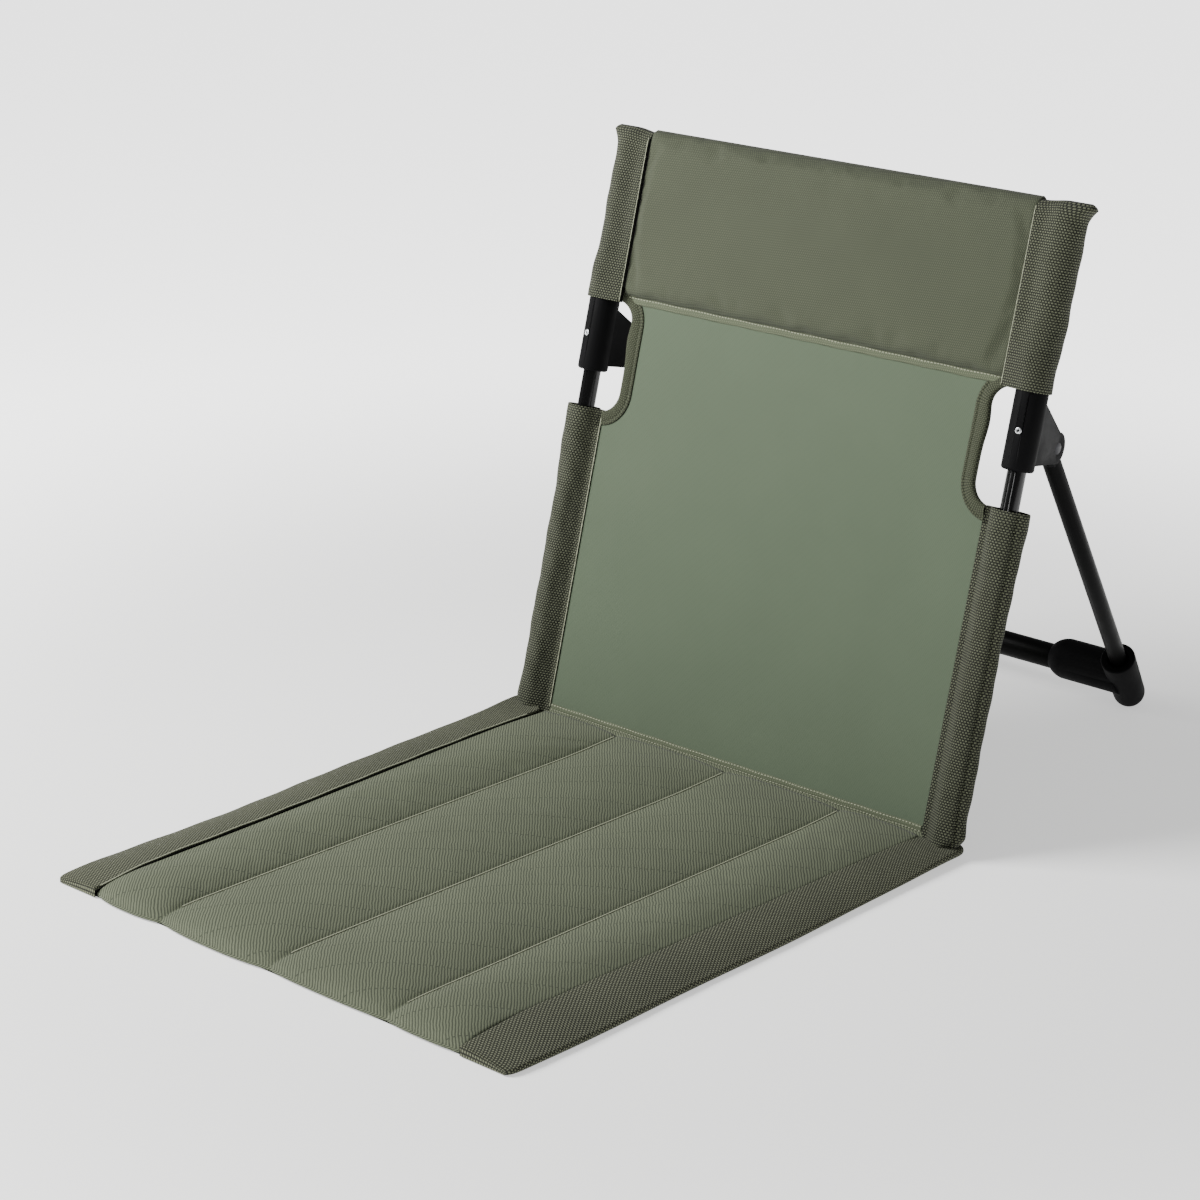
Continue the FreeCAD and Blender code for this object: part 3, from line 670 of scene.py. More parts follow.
@dataclass(frozen=True)
class SleeveSize:
    """Section of a sleeve, from its pole's axis to its seam, its ends and the cloth turned in there."""

    radius: float
    reach: float
    half: float
    tuck: float
    flange: float
    wide: float
    behind: float
    low: float
    high: float
    hems: float


@dataclass(frozen=True)
class StripSize:
    """Flat folded strip across the panel, with the shares of its height at which it is sewn down."""

    half: float
    low: float
    high: float
    front: float
    seams: tuple[float, ...]


@dataclass(frozen=True)
class BackSize:
    """Sizes of the back that the CAD source also has, and how its cloth swells and folds."""

    pole_x: float = 193.5 * MM
    lower: SleeveSize = SleeveSize(
        radius=9.4 * MM, reach=18.5 * MM, half=1.4 * MM, tuck=1.0 * MM, flange=4.6 * MM,
        wide=4.6 * MM, behind=0.0, low=-4.0 * MM, high=238.0 * MM, hems=20.0 * MM)
    upper: SleeveSize = SleeveSize(
        radius=12.6 * MM, reach=21.0 * MM, half=7.7 * MM, tuck=3.6 * MM, flange=0.5 * MM,
        wide=0.8 * MM, behind=2.8 * MM, low=319.5 * MM, high=447.0 * MM, hems=13.0 * MM)
    flange_rise: float = 0.15 * MM
    lean_span: Span = (14.0 * MM, 50.0 * MM)
    flare: float = 2.0 * MM
    flare_span: Span = (75.0 * MM, 4.0 * MM)
    foot_top: float = 24.0 * MM
    foot_draw: float = 2.0 * MM
    foot_draw_span: Span = (-3.0 * MM, 8.0 * MM)
    foot_clear: float = 3.0 * MM
    foot_hem: float = 8.0 * MM
    toe_out: float = 1.9 * MM
    toe_out_span: Span = (8.0 * MM, 30.0 * MM)
    toe_in: float = 3.0 * MM
    toe_in_span: Span = (4.0 * MM, 17.0 * MM)
    seam_turn: float = -0.48
    seam_width: float = 0.15
    seam_groove: float = 2.0 * MM
    # Pale painted highlight lines on the sleeves' seam edges: inset from the edge, widths and ends
    highlight_in: float = 0.3 * MM
    lower_highlight: float = 0.8 * MM
    lower_highlight_foot: float = 14.0 * MM
    upper_highlight: float = 0.6 * MM
    upper_highlight_top: float = 7.0 * MM
    top_round: float = 11.0 * MM
    top_bend: float = 30.0 * MM
    top_sink: float = 2.2 * MM
    ear_reach: float = 15.0 * MM
    ear_rise: float = 11.0 * MM
    ear_tip: float = 4.0 * MM
    ear_tip_loss: float = 0.8
    ear_left: float = 6.0 * MM
    ear_right: float = 7.5 * MM
    panel_half: float = 175.0 * MM
    panel_low: float = 12.0 * MM
    panel_tuck: float = 2.0 * MM
    panel_face: float = 0.5 * MM
    panel_sag: float = 1.2 * MM
    panel_sag_height: float = 320.0 * MM
    tape_centre: float = 178.0 * MM
    tape_low: float = 254.0 * MM
    tape_high: float = 303.5 * MM
    tape_inner: float = 16.0 * MM
    tape_outer: float = 27.0 * MM
    tape_width: float = 10.0 * MM
    tape_end: float = 6.0 * MM
    tape_bulge: float = 2.2 * MM
    tape_bulge_at: float = 293.0 * MM
    tape_bulge_reach: float = 13.0 * MM
    headrest_half: float = 172.5 * MM
    headrest_low: float = 324.7 * MM
    headrest_lip: float = 1.9 * MM
    headrest_edge: float = 7.7 * MM
    headrest_sink: float = 1.8 * MM
    headrest_behind: float = 1.0 * MM
    headrest_crown: float = 9.4 * MM
    headrest_side_round: float = 11.0 * MM
    headrest_foot_round: float = 8.0 * MM
    headrest_drawn: float = 0.95
    headrest_puff: Puff = Puff(pressure=1.2, slack=0.005, cap=1.4 * MM)
    hem_strip: StripSize = StripSize(
        half=172.5 * MM, low=319.5 * MM, high=325.0 * MM, front=-1.7 * MM, seams=(0.8,))
    seat_strip: StripSize = StripSize(
        half=174.0 * MM, low=11.0 * MM, high=16.3 * MM, front=-1.6 * MM, seams=(0.2, 0.8))
    strip_wave: float = 0.15 * MM
    strip_wave_length: float = 37.0 * MM
    strip_lift: float = 0.9 * MM
    strip_groove: float = 0.25 * MM
    strip_groove_share: float = 0.09
    strip_thick: float = 1.6 * MM


class Backrest(Part):
    """Poles, hubs and the cloth of the leaning back."""

    body = "backrest"
    # Columns of faces at both seam edges of a folded piece, which get painted shade
    PAINTED_SHADE_EDGES = (0, 1, -2, -1)
    # Height, length, twist round the pole and phase of the soft waves in a sleeve
    RIPPLES = ((0.28 * MM, 61 * MM, 2.0, 1), (0.18 * MM, 23 * MM, -3.0, 2))
    RIGHT_PHASE = 1.7
    # Height over the mouth and change of width of the rows turned in there, in millimetres
    LOWER_LIP = ((0.5, -0.4), (0.2, -1.2), (-1.5, -1.6), (-12.0, -1.8))
    UPPER_LIP = ((10.0, -1.0), (1.5, -1.0), (0.0, -0.8), (-0.4, -0.3))
    # Share of the tape's width from its outer edge, and half its thickness there in millimetres
    TAPE_SHARE = (0.02, 0.0, 0.02, 0.08, 0.16, 0.22, 0.27, 0.32, 0.4, 0.55, 0.7, 0.82, 0.91, 0.97, 1.0)
    TAPE_LIFT = (0.1, 0.6, 1.1, 1.5, 1.55, 1.35, 1.0, 1.45, 1.8, 2.2, 2.5, 2.5, 2.2, 1.5, 0.0)

    def __init__(self, shop: FinishShop, size: BackSize = BackSize(), plane: BackPlane = BackPlane()) -> None:
        """Start the back.

        Args:
            shop: where finishes come from.
            size: sizes of the cloth.
            plane: the leaning plane.
        """
        super().__init__(shop)
        self.size = size
        self.plane = plane
        self.front = plane.place(0, -1, 0) - plane.place(0, 0, 0)

    def drop(self, shape: SleeveSize) -> np.ndarray:
        """Outline of a sleeve round its pole, from its tucked front seam edge to its rear one.

        Args:
            shape: size of the sleeve.
        Returns: points by 2: outward from the pole's axis, and behind it.
        """
        size = self.size
        corner = np.array([-shape.reach, shape.half])
        knee = corner + [shape.flange, size.flange_rise]
        swing = math.acos(shape.radius / np.linalg.norm(knee))
        angle = math.atan2(knee[1], knee[0]) - swing
        fine = size.seam_turn + 3 * size.seam_width * np.linspace(-1, 1, 21)
        turn = np.unique(np.concatenate([np.linspace(-angle, angle, 61), fine]))
        reach = np.where(np.cos(turn) > 0, shape.radius + shape.wide, shape.radius)
        arc = np.stack([reach * np.cos(turn), shape.radius * np.sin(turn)], axis=1)
        flank = resample(np.stack([arc[-1], knee]), 8)[1:]
        flange = resample(np.stack([knee, corner]), 5)[1:]
        fold = corner + np.array([[-0.35 * MM, -0.3 * shape.tuck], [0.2 * MM, -shape.tuck]])
        rear = np.concatenate([flank, flange, fold])
        return np.concatenate([rear[::-1] * [1, -1], arc, rear])

    def sleeve_rows(self, side: Side, shape: SleeveSize, heights: np.ndarray,
                    flatten: np.ndarray | float = 1.0, spread: np.ndarray | float = 0.0,
                    swell: np.ndarray | float = 0.0, groove: float = 0.0) -> tuple[np.ndarray, np.ndarray]:
        """Points of a sleeve, row by row.

        Args:
            side: which pole.
            shape: size of the sleeve.
            heights: place of each row up the slope.
            flatten: share of the thickness left in each row.
            spread: how far each row's outer edge stands out.
            swell: how much wider than its size each row is.
            groove: depth of the sewn line beside the outer edge.
        Returns: the points and their flat places.
        """
        size, outline, s = self.size, self.drop(shape), heights[:, None]
        flatten, spread, swell = (np.broadcast_to(part, heights.shape)[:, None]
                                  for part in (flatten, spread, swell))
        angle = np.arctan2(outline[:, 1], outline[:, 0])
        radial = outline / np.linalg.norm(outline, axis=1, keepdims=True)
        away = ease(outline[:, 0], -shape.reach + shape.flange, -shape.reach / 3)
        phase = self.RIGHT_PHASE if side is Side.RIGHT else 0.0
        ripple = sum(tall * np.sin(2 * np.pi * s / length + twist * angle + times * phase)
                     for tall, length, twist, times in self.RIPPLES)
        line = np.exp(-((angle - size.seam_turn) / size.seam_width) ** 2) * groove
        shift = away * (ripple - line + swell)
        out = outline[:, 0] + radial[:, 0] * shift + spread * ease(outline[:, 0], 0.0, shape.radius)
        lean = shape.behind * ease(s - shape.low, *size.lean_span)
        loose = ease(outline[:, 0], -shape.reach, -shape.reach / 2)
        back = (outline[:, 1] + radial[:, 1] * shift) * flatten + lean * loose
        points = self.plane.place(side.value * (size.pole_x + out), back, s)
        return points, flat_grid(run_along(outline), heights)

    def sleeve_piece(self, side: Side, kind: str, shape: SleeveSize, points: np.ndarray, flat: np.ndarray,
                     *nodes: str) -> None:
        """Make a sleeve's cloth, with painted shade where its seam edges are tucked in.

        Args:
            side: which pole.
            kind: whether it is the lower or the upper one.
            shape: not used.
            points: rows by columns by 3.
            flat: their flat places.
            nodes: CAD solids that it stands for.
        """
        mesh = ClothMesh("%s_sleeve_cloth_%s" % (kind, side.label)).grid(points, flat, tucked=self.PAINTED_SHADE_EDGES)
        piece = mesh.build(self.shop.get(SLEEVE_CLOTH), self.shop.get(PAINTED_SEAM_SHADE))
        self.own(piece, "sleeve_cloth", *nodes)
        "pole_" + side.label

    def build_lower_sleeve(self, side: Side) -> None:
        """Sleeve round the lower pole, closed on the floor, with a turned-in mouth.

        Args:
            side: which pole.
        """
        size, shape = self.size, self.size.lower
        heights = np.concatenate([np.linspace(shape.low, size.foot_top, 18),
                                  np.linspace(size.foot_top, shape.high, 96)[1:]])
        flare = size.flare * ease(shape.high - heights, *size.flare_span)
        flare = flare - size.foot_draw * (1 - ease(heights, *size.foot_draw_span))
        toe = size.toe_out * (1 - ease(heights, *size.toe_out_span))
        toe = toe - (shape.wide + size.toe_in) * (1 - ease(heights, *size.toe_in_span))
        groove = size.seam_groove
        points, flat = self.sleeve_rows(side, shape, heights, spread=toe, swell=flare, groove=groove)
        rise, grow = np.array(self.LOWER_LIP).T * MM
        mouth, grow = shape.high + rise, size.flare + grow
        lip, lip_flat = self.sleeve_rows(side, shape, mouth, swell=grow, groove=groove)
        points[..., 2] = np.maximum(points[..., 2], size.foot_clear)
        floor = points[:1].mean(axis=1, keepdims=True) * np.ones_like(points[:1])
        points = np.concatenate([floor, points, lip])
        flat = np.concatenate([flat[:1] - [0, size.foot_hem], flat, lip_flat])
        self.sleeve_piece(side, "lower", shape, points, flat,
                          "lower_sleeve_" + side.label, "corner_pocket_" + side.label)
        # Painted highlight: a pale line down the lit seam edge of the left lower sleeve
        if side is Side.LEFT:
            x = side.value * (size.pole_x - shape.reach + size.highlight_in)
            path = self.plane.place(x, -shape.half, np.linspace(size.lower_highlight_foot, shape.high, 60))
            self.stitches_and_highlights.painted_line(path, self.front, size.lower_highlight)

    def build_upper_sleeve(self, side: Side) -> None:
        """Pocket over the upper pole, pinched at the top into an ear.

        Args:
            side: which pole.
        """
        size, shape = self.size, self.size.upper
        bend = shape.high - size.top_bend
        turn = np.linspace(0, np.pi / 2, 28)[1:]
        heights = np.concatenate([np.linspace(shape.low, bend, 38),
                                  shape.high - size.top_bend * (1 - np.sin(turn))])
        flatten = quarter(shape.high - heights, size.top_round)
        ear = np.clip((heights - shape.high + size.ear_reach) / size.ear_rise, 0, 1) ** 2
        tip = np.clip((heights - shape.high + size.ear_tip) / size.ear_tip, 0, 1) ** 2
        ear = ear * np.sqrt(1 - size.ear_tip_loss * tip)
        spread = ear * (size.ear_right if side is Side.RIGHT else size.ear_left)
        points, flat = self.sleeve_rows(side, shape, heights, flatten=flatten, spread=spread)
        inward = ease(np.abs(points[..., 0]), size.pole_x, size.pole_x - shape.reach)
        points[..., 2] -= size.top_sink * inward * ease(heights, bend, shape.high)[:, None]
        rise, grow = np.array(self.UPPER_LIP).T * MM
        lip, lip_flat = self.sleeve_rows(side, shape, shape.low + rise, swell=grow)
        points, flat = np.concatenate([lip, points]), np.concatenate([lip_flat, flat])
        self.sleeve_piece(side, "upper", shape, points, flat, "upper_sleeve_" + side.label)
        # Painted highlight: a pale line down the seam edge of each upper sleeve
        rise = np.linspace(shape.low, shape.high - size.upper_highlight_top, 60)
        fall = quarter(shape.high - rise, size.top_round)
        x = side.value * (size.pole_x - shape.reach + size.highlight_in)
        self.stitches_and_highlights.painted_line(self.plane.place(x, -shape.half * fall, rise), self.front, size.upper_highlight)

    def tape_edge(self, radius: float) -> np.ndarray:
        """Line round a cut-out, from its lower end to its upper one.

        Args:
            radius: radius of its corners.
        Returns: points across and up the slope.
        """
        size = self.size
        begin = math.acos((size.panel_half - size.tape_centre) / radius)
        turn = np.linspace(begin, np.pi, 18)
        across = size.tape_centre + radius * np.cos(turn)
        low = np.stack([across, size.tape_low - radius * np.sin(turn)], axis=1)
        high = np.stack([across, size.tape_high + radius * np.sin(turn)], axis=1)[::-1]
        side = np.full(14, size.tape_centre - radius)
        straight = np.stack([side, np.linspace(size.tape_low, size.tape_high, 14)], axis=1)
        return np.concatenate([low, straight[1:-1], high])

    def build_panel(self) -> None:
        """Smooth lower panel, a single stretched sheet, with the tapes and strips that trim it."""
        size = self.size
        mesh = ClothMesh("panel_cloth")
        rows = np.linspace(0, 1, 61)[:, None]
        top = size.headrest_low - size.panel_tuck
        brim = size.tape_centre - size.tape_outer
        x_mid = np.linspace(-brim, brim, 81)
        x_side = brim + (size.panel_half - brim) * np.linspace(0, 1, 15) ** 1.6
        bend = np.sqrt(np.maximum(size.tape_outer ** 2 - (size.tape_centre - x_side) ** 2, 0.0))
        below, above = size.tape_low - bend, np.minimum(size.tape_high + bend, top)

        def layer(x: np.ndarray, low: np.ndarray | float, high: np.ndarray | float, n: float) -> float:
            """Add one patch of the sheet.

            Args:
                x: columns across.
                low: lower limit of each column.
                high: upper limit of each column.
                n: offset of this face from the sheet's middle.
            Returns: the patch's area.
            """
            tall = high - low + 0 * x
            s = low + rows * tall
            dip = np.sin(np.pi * np.clip(s / size.panel_sag_height, 0, 1))
            dip = size.panel_sag * np.cos(np.pi / 2 * x / size.panel_half) * dip
            mesh.grid(self.plane.place(x, n + dip, s), np.stack([x + 0 * s, s], axis=-1))
            return float(np.sum(np.abs(np.diff(x)) * (tall[1:] + tall[:-1]) / 2))

        for n in (-size.panel_face, size.panel_face):
            area = layer(x_mid, size.panel_low, size.tape_low, n)
            area += layer(x_mid, size.tape_low, size.tape_high, n) + layer(x_mid, size.tape_high, top, n)
            for sign in (1, -1):
                area += layer(sign * x_side, size.panel_low, below, n) + layer(sign * x_side, above, top, n)
        piece = self.own(mesh.build(self.shop.get(PANEL_CLOTH)), "panel_mesh", "mesh_panel")
        trim = [self.build_tape(side) for side in Side]
        trim.append(self.build_strip("headrest_hem", size.hem_strip))
        trim.append(self.build_strip("seat_seam", size.seat_strip))

    def build_tape(self, side: Side) -> bpy.types.Object:
        """Folded tape round a cut-out.

        Args:
            side: which cut-out.
        Returns: the piece.
        """
        size = self.size
        outer, inner = self.tape_edge(size.tape_outer), self.tape_edge(size.tape_inner)
        near = np.exp(-((inner[:, 1] - size.tape_bulge_at) / size.tape_bulge_reach) ** 2)
        inner[:, 0] += size.tape_bulge * near * ease(size.panel_half - inner[:, 0], 0, size.tape_end)
        share, lift = np.array(self.TAPE_SHARE), np.array(self.TAPE_LIFT) * MM
        share, depth = np.concatenate([share, share[-2::-1]]), np.concatenate([-lift, lift[-2::-1]])
        spot = outer[:, None, :] + (inner - outer)[:, None, :] * share[None, :, None]
        points = self.plane.place(side.value * spot[..., 0], depth, spot[..., 1])
        flat = flat_grid(share * size.tape_width, run_along(inner))
        # Its edge columns on the panel side get painted shade, a dark line along the tape
        mesh = ClothMesh("cutout_tape_" + side.label).grid(points, flat, tucked=self.PAINTED_SHADE_EDGES)
        piece = mesh.build(self.shop.get(TAPE_CLOTH), self.shop.get(PAINTED_SEAM_SHADE))
        return self.own(piece, "binding_tape", "cutout_binding_" + side.label)

    def build_strip(self, node: str, shape: StripSize) -> bpy.types.Object:
        """Flat folded strip across the front of the panel, with its rows of stitching.

        Args:
            node: CAD solid that it stands for.
            shape: size of the strip.
        Returns: the piece.
        """
        size, tall = self.size, shape.high - shape.low
        x, rim = np.linspace(-shape.half, shape.half, 161), np.linspace(0, 1, 15)
        wave = size.strip_wave * np.sin(2 * np.pi * x / size.strip_wave_length)
        lift = size.strip_lift * (1 - np.abs(2 * rim - 1) ** 8)
        for seam in shape.seams:
            lift = lift - size.strip_groove * np.exp(-((rim - seam) / size.strip_groove_share) ** 2)
            path = self.plane.place(x, shape.front + size.strip_groove, shape.low + tall * seam + wave)
            self.stitches_and_highlights.row(path, self.front)
        s = shape.low + tall * rim[:, None] + wave
        front = self.plane.place(x, shape.front + size.strip_lift - lift[:, None], s)
        rear = self.plane.place(x, shape.front + size.strip_thick, s)
        flat = flat_grid(x, rim * tall)
        mesh = ClothMesh(node + "_strip").grid(front, flat).grid(rear, flat)
        for row in (0, -1):
            mesh.wall(front[row], rear[row], flat[row], (0, 1 * MM))
        return self.own(mesh.build(self.shop.get(STRIP_CLOTH)), "binding_tape", node)

    def build_headrest(self) -> None:
        """Padded upper panel, puffed over its foam, sunk a little between its sleeves."""
        size = self.size
        low, high = size.headrest_low, size.upper.high
        t, rise = np.linspace(-1, 1, 127), np.linspace(0, 1, 49)
        x = size.headrest_half * (0.55 * t + 0.45 * np.sin(np.pi / 2 * t))
        s = low + (high - low) * (0.75 * rise + 0.25 * np.sin(np.pi / 2 * rise))
        across = 1 - np.abs(x / size.headrest_half) ** 2.5
        body = size.headrest_edge + (size.headrest_crown - size.headrest_edge) * across
        beside = quarter(size.headrest_half - np.abs(x), size.headrest_side_round)
        body = body - size.headrest_sink * (1 - beside)
        foot = quarter(s - low, size.headrest_foot_round)[:, None]
        depth = size.headrest_lip + (body - size.headrest_lip) * foot
        depth = depth * quarter(high - s, size.top_round)[:, None] * size.headrest_drawn
        pinned = np.zeros(depth.shape)
        pinned[[0, -1], :] = pinned[:, [0, -1]] = 1.0
        faces = []
        for sign in (-1, 1):
            points = self.plane.place(x, size.headrest_behind + sign * depth, s[:, None])
            # The rear face is run mirrored, so that the pressure blows it to the rear
            faces.append(size.headrest_puff.run(points[:, ::-sign], pinned)[:, ::-sign])
        front, rear = faces
        flat = flat_grid(x, s)
        mesh = ClothMesh("headrest_cloth").grid(front, flat).grid(rear, flat)
        mesh.wall(front[0], rear[0], flat[0], (0, 4 * MM))
        for col in (0, -1):
            mesh.wall(front[:, col], rear[:, col], flat[:, col], (15 * MM, 0))
        piece = mesh.build(self.shop.get(HEADREST_CLOTH))
        self.own(piece, "quilt_cloth", "headrest_cover", "headrest_pad")

    def build(self) -> None:
        """Make every cloth piece of the back."""
        for side in Side:
            self.build_lower_sleeve(side)
            self.build_upper_sleeve(side)
        self.build_panel()
        self.build_headrest()
        self.sew()

    def dress(self) -> None:
        """Finish the rigid pieces of the back."""
        self.finish_nodes(POLE_PAINT, *Side.both("pole"))
        self.finish_nodes(NYLON, *Side.both("hub", "pole_top_cap", "pole_bottom_cap"))
        self.finish_nodes(RIVET, "hub_rivets")
        self.finish_nodes(PIN, "leg_pins")


@dataclass(frozen=True)
class SeatSize:
    """Sizes of the seat mat that the CAD source also has, and where its cloth bends at the fold."""

    half: float = 210.4 * MM
    half_rear: float = 208.0 * MM
    front: float = -387.8 * MM
    rear: float = 45.65 * MM
    pitch: float = 105.0 * MM
    lip: float = 3.2 * MM
    seam: float = 7.6 * MM
    crown: float = 15.2 * MM
    drawn: float = 0.92
    puff: Puff = Puff(pressure=2.0, slack=0.001, cap=1.5 * MM)
    rear_height: float = 11.2 * MM
    rear_dip: float = 1.6 * MM
    rear_span: Span = (-20.0 * MM, 55.0 * MM)
    front_round: float = 40.0 * MM
    front_bow: float = 2.0 * MM
    bow_at: float = -300.0 * MM
    bow_reach: float = 110.0 * MM
    front_bulge: float = 2.0 * MM
    bulge_reach: float = 40.0 * MM
    scallop: float = 2.2 * MM
    scallop_reach: float = 30.0 * MM
    crease: float = 0.7 * MM
    crease_width: float = 2.0 * MM
    gutter: float = 2.6 * MM
    gutter_width: float = 1.2 * MM
    least_height: float = 1.6 * MM
    # Width of the pale lines beside the seat's seams, partly their thread and partly a painted highlight
    quilt_seam_highlight: float = 1.3 * MM
    ground_low: float = 0.1 * MM
    ground_high: float = 0.9 * MM
    ground_lap: float = 1.5 * MM
    ground_front: float = 2.0 * MM
    ground_rear: float = 4.0 * MM
    lift_span: Span = (-290.0 * MM, 10.0 * MM)
    back_span: Span = (-60.0 * MM, 45.0 * MM)
    rear_out: float = 3.5 * MM
    edge_lift: float = 4.2 * MM
    corner_rise: float = 2.0 * MM
    corner_span: Span = (10.0 * MM, 46.0 * MM)
    hem_front: float = 170.0 * MM
    hem_rear: float = 176.0 * MM
    hem_end: float = 28.0 * MM
    hem_height: float = 9.4 * MM
    hem_lift: float = 2.0 * MM
    hem_lap: float = 0.4 * MM
    hem_over: float = 0.5 * MM
    hem_round: float = 34.0 * MM
    hem_sway: float = 0.5 * MM
    hem_sway_length: float = 190.0 * MM
    hem_wave: float = 0.2 * MM
    hem_wave_length: float = 47.0 * MM
    hem_wave_above: float = 4.0 * MM
    hem_corner: float = 4.0 * MM
    hem_corner_round: float = 12.0 * MM
    hem_low: float = 0.3 * MM
    hem_low_rear: float = 2.4 * MM
    hem_low_span: Span = (-140.0 * MM, -20.0 * MM)
    hem_edge: float = 5.2 * MM
    hem_edge_rear: float = 8.0 * MM
    hem_edge_span: Span = (-30.0 * MM, 40.0 * MM)
    # Width of the hem's painted lines: a highlight on the left lip and a shadow under each lip
    hem_painted_line: float = 1.2 * MM
    hem_pressed: float = 0.35
    knob_start: float = 46.0 * MM
    knob_end: float = 58.5 * MM
    knob_x: float = 198.0 * MM
    knob_in: float = 18.5 * MM
    knob_in_span: Span = (41.0 * MM, 53.0 * MM)
    knob_low: float = 2.6 * MM
    knob_edge: float = 6.2 * MM
    knob_top: float = 9.6 * MM
    knob_top_span: Span = (26.0 * MM, 44.0 * MM)
    fold_start: float = 33.0 * MM
    fold_end: float = 43.0 * MM
    fold_height: float = 4.0 * MM


class SeatMat(Part):
    """Quilted mat on the floor, with its side hems."""

    body = "seat"
    # Columns of faces of a hem that are turned in under it, which get painted shade
    HEM_PAINTED_SHADE = (0, -2, -3, -4)
    # Places of the hem's rolled lip, out from its inner edge and over its top, in millimetres
    HEM_LIP = ((0.5, -2.6), (0.1, -1.2), (0.0, -0.3), (0.25, 0.3), (0.9, 0.6), (2.2, 0.65))
    # Turn of the points round the bead at the hem's outer edge, in degrees
    HEM_BEAD = (72, 54, 36, 18, 0, -20, -40, -60, -80, -95)

    def __init__(self, shop: FinishShop, plane: BackPlane = BackPlane(), size: SeatSize = SeatSize()) -> None:
        """Start the seat.

        Args:
            shop: where finishes come from.
            plane: the leaning plane that the seat meets.
            size: sizes of the mat.
        """
        super().__init__(shop)
        self.plane = plane
        self.size = size
        self.rims: dict[Side, tuple[np.ndarray, np.ndarray]] = {}
        self.rear_edge = np.zeros((0, 3))

    def lifted(self, side: Side, y: np.ndarray) -> np.ndarray:
        """Returns: the share by which a hem has crept up and out at y, as the left one has in the photo."""
        return ease(y, *self.size.lift_span) * (side is Side.LEFT)

    def hem_line(self, side: Side, y: np.ndarray) -> np.ndarray:
        """Inner edge of the hem along the seat.

        Args:
            side: which hem.
            y: place along the seat.
        Returns: its distance from the middle.
        """
        size = self.size
        share = (y - size.front) / (size.rear - size.front)
        line = size.hem_front + (size.hem_rear - size.hem_front) * np.clip(share, 0, 1)
        return line + size.rear_out * self.lifted(side, y)

    def build_quilt(self) -> None:
        """Four sewn channels, puffed over their foam."""
        size = self.size
        share = np.linspace(0, 1, 150)
        y = size.front + (size.rear - size.front) * (share + 0.012 * np.sin(2 * np.pi * share))
        # Columns of a channel, closer together beside its seams
        t = np.linspace(0, 1, 37)
        t = 0.6 * (1 - np.cos(np.pi * t)) / 2 + 0.4 * t
        shares = [t, t[1:], t[1:], t[1:]]
        use = np.concatenate(shares)
        left, right = (self.hem_line(side, y) for side in Side)
        rims = [size.hem_height + size.hem_lift * self.lifted(side, y) for side in Side]
        level = np.full_like(y, size.seam)
        lines = [-left, 0 * y - size.pitch, 0 * y, 0 * y + size.pitch, right]
        sewn_at = [rims[0], level, level, level, rims[1]]
        x, seam = (np.concatenate([a[:, None] + (b - a)[:, None] * part
                                   for a, b, part in zip(ends, ends[1:], shares)], axis=1)
                   for ends in (lines, sewn_at))
        belly = 1 - np.abs(2 * use - 1) ** 2.6
        sewn = (use < 1e-9) | (use > 1 - 1e-9)
        # The cloth is held at the seams, firmly beside the hems, and more and more towards the rear
        pinned = np.tile(sewn.astype(float), (len(y), 1))
        pinned[:, :6] = np.maximum(pinned[:, :6], 0.6)
        pinned[:, -6:] = np.maximum(pinned[:, -6:], 0.6)
        pinned[-8:] = np.maximum(pinned[-8:], np.linspace(0.3, 1.0, 8)[:, None])
        pinned[0, :] = 1.0
        front = quarter(y - size.front, size.front_round)[:, None]
        rear = ease(size.rear - y, *size.rear_span)[:, None]
        floor = size.rear_height - size.rear_dip + (seam - size.rear_height + size.rear_dip) * rear
        top = size.rear_height + (size.crown * size.drawn - size.rear_height) * rear
        z = size.lip + ((floor + (top - floor) * belly) - size.lip) * front
        scallop = size.scallop * (1 - belly) * (1 - ease(y - size.front, 0, size.scallop_reach))[:, None]
        bulge = size.front_bulge * belly * (1 - ease(x, -size.bulge_reach, size.bulge_reach))
        bulge = bulge * (1 - ease(y - size.front, 0, size.bulge_reach))[:, None]
        points = np.stack([x, y[:, None] + scallop - bulge, z], axis=-1)
        points = size.puff.run(points, pinned)
        for side, column in ((Side.LEFT, 4), (Side.RIGHT, -5)):
            heights = np.pad(points[:, column, 2], 12, mode="edge")
            smooth = np.convolve(heights, np.ones(25) / 25, mode="valid")
            self.rims[side] = points[:, column, 1].copy(), smooth
        to_seam = np.min([np.abs(x - line) for line in (-size.pitch, 0.0, size.pitch)], axis=0)
        to_hem = np.minimum(x + left[:, None], right[:, None] - x)
        crease = size.crease * np.exp(-(to_seam / size.crease_width) ** 2) * front
        gutter = size.gutter * np.exp(-(to_hem / size.gutter_width) ** 2) * front
        points[..., 2] = np.maximum(points[..., 2] - crease - gutter, size.least_height)
        self.rear_edge = points[-1].copy()
        flat = np.stack([x, y[:, None] + 0 * x], axis=-1)
        mesh = ClothMesh("seat_quilt").grid(points, flat)
        for at in ((0, slice(None)), (-1, slice(None)), (slice(None), 0), (slice(None), -1)):
            foot = points[at] * [1, 1, 0] + [0, 0, size.ground_high]
            mesh.wall(points[at], foot, flat[at], (0, 4 * MM))
        pads = ["seat_pad_%d" % k for k in (1, 2, 3, 4)]
        piece = self.own(mesh.build(self.shop.get(QUILT_CLOTH)), "quilt_cloth", "seat_cover", *pads)
        # Pale lines on the lit flank beside each seam: partly the seam's thread, partly a painted highlight
        for column in np.flatnonzero(sewn)[1:-1]:
            self.stitches_and_highlights.painted_line(points[6:-1, column] + [0.4 * MM, 0, 0.75 * MM], UP, size.quilt_seam_highlight)

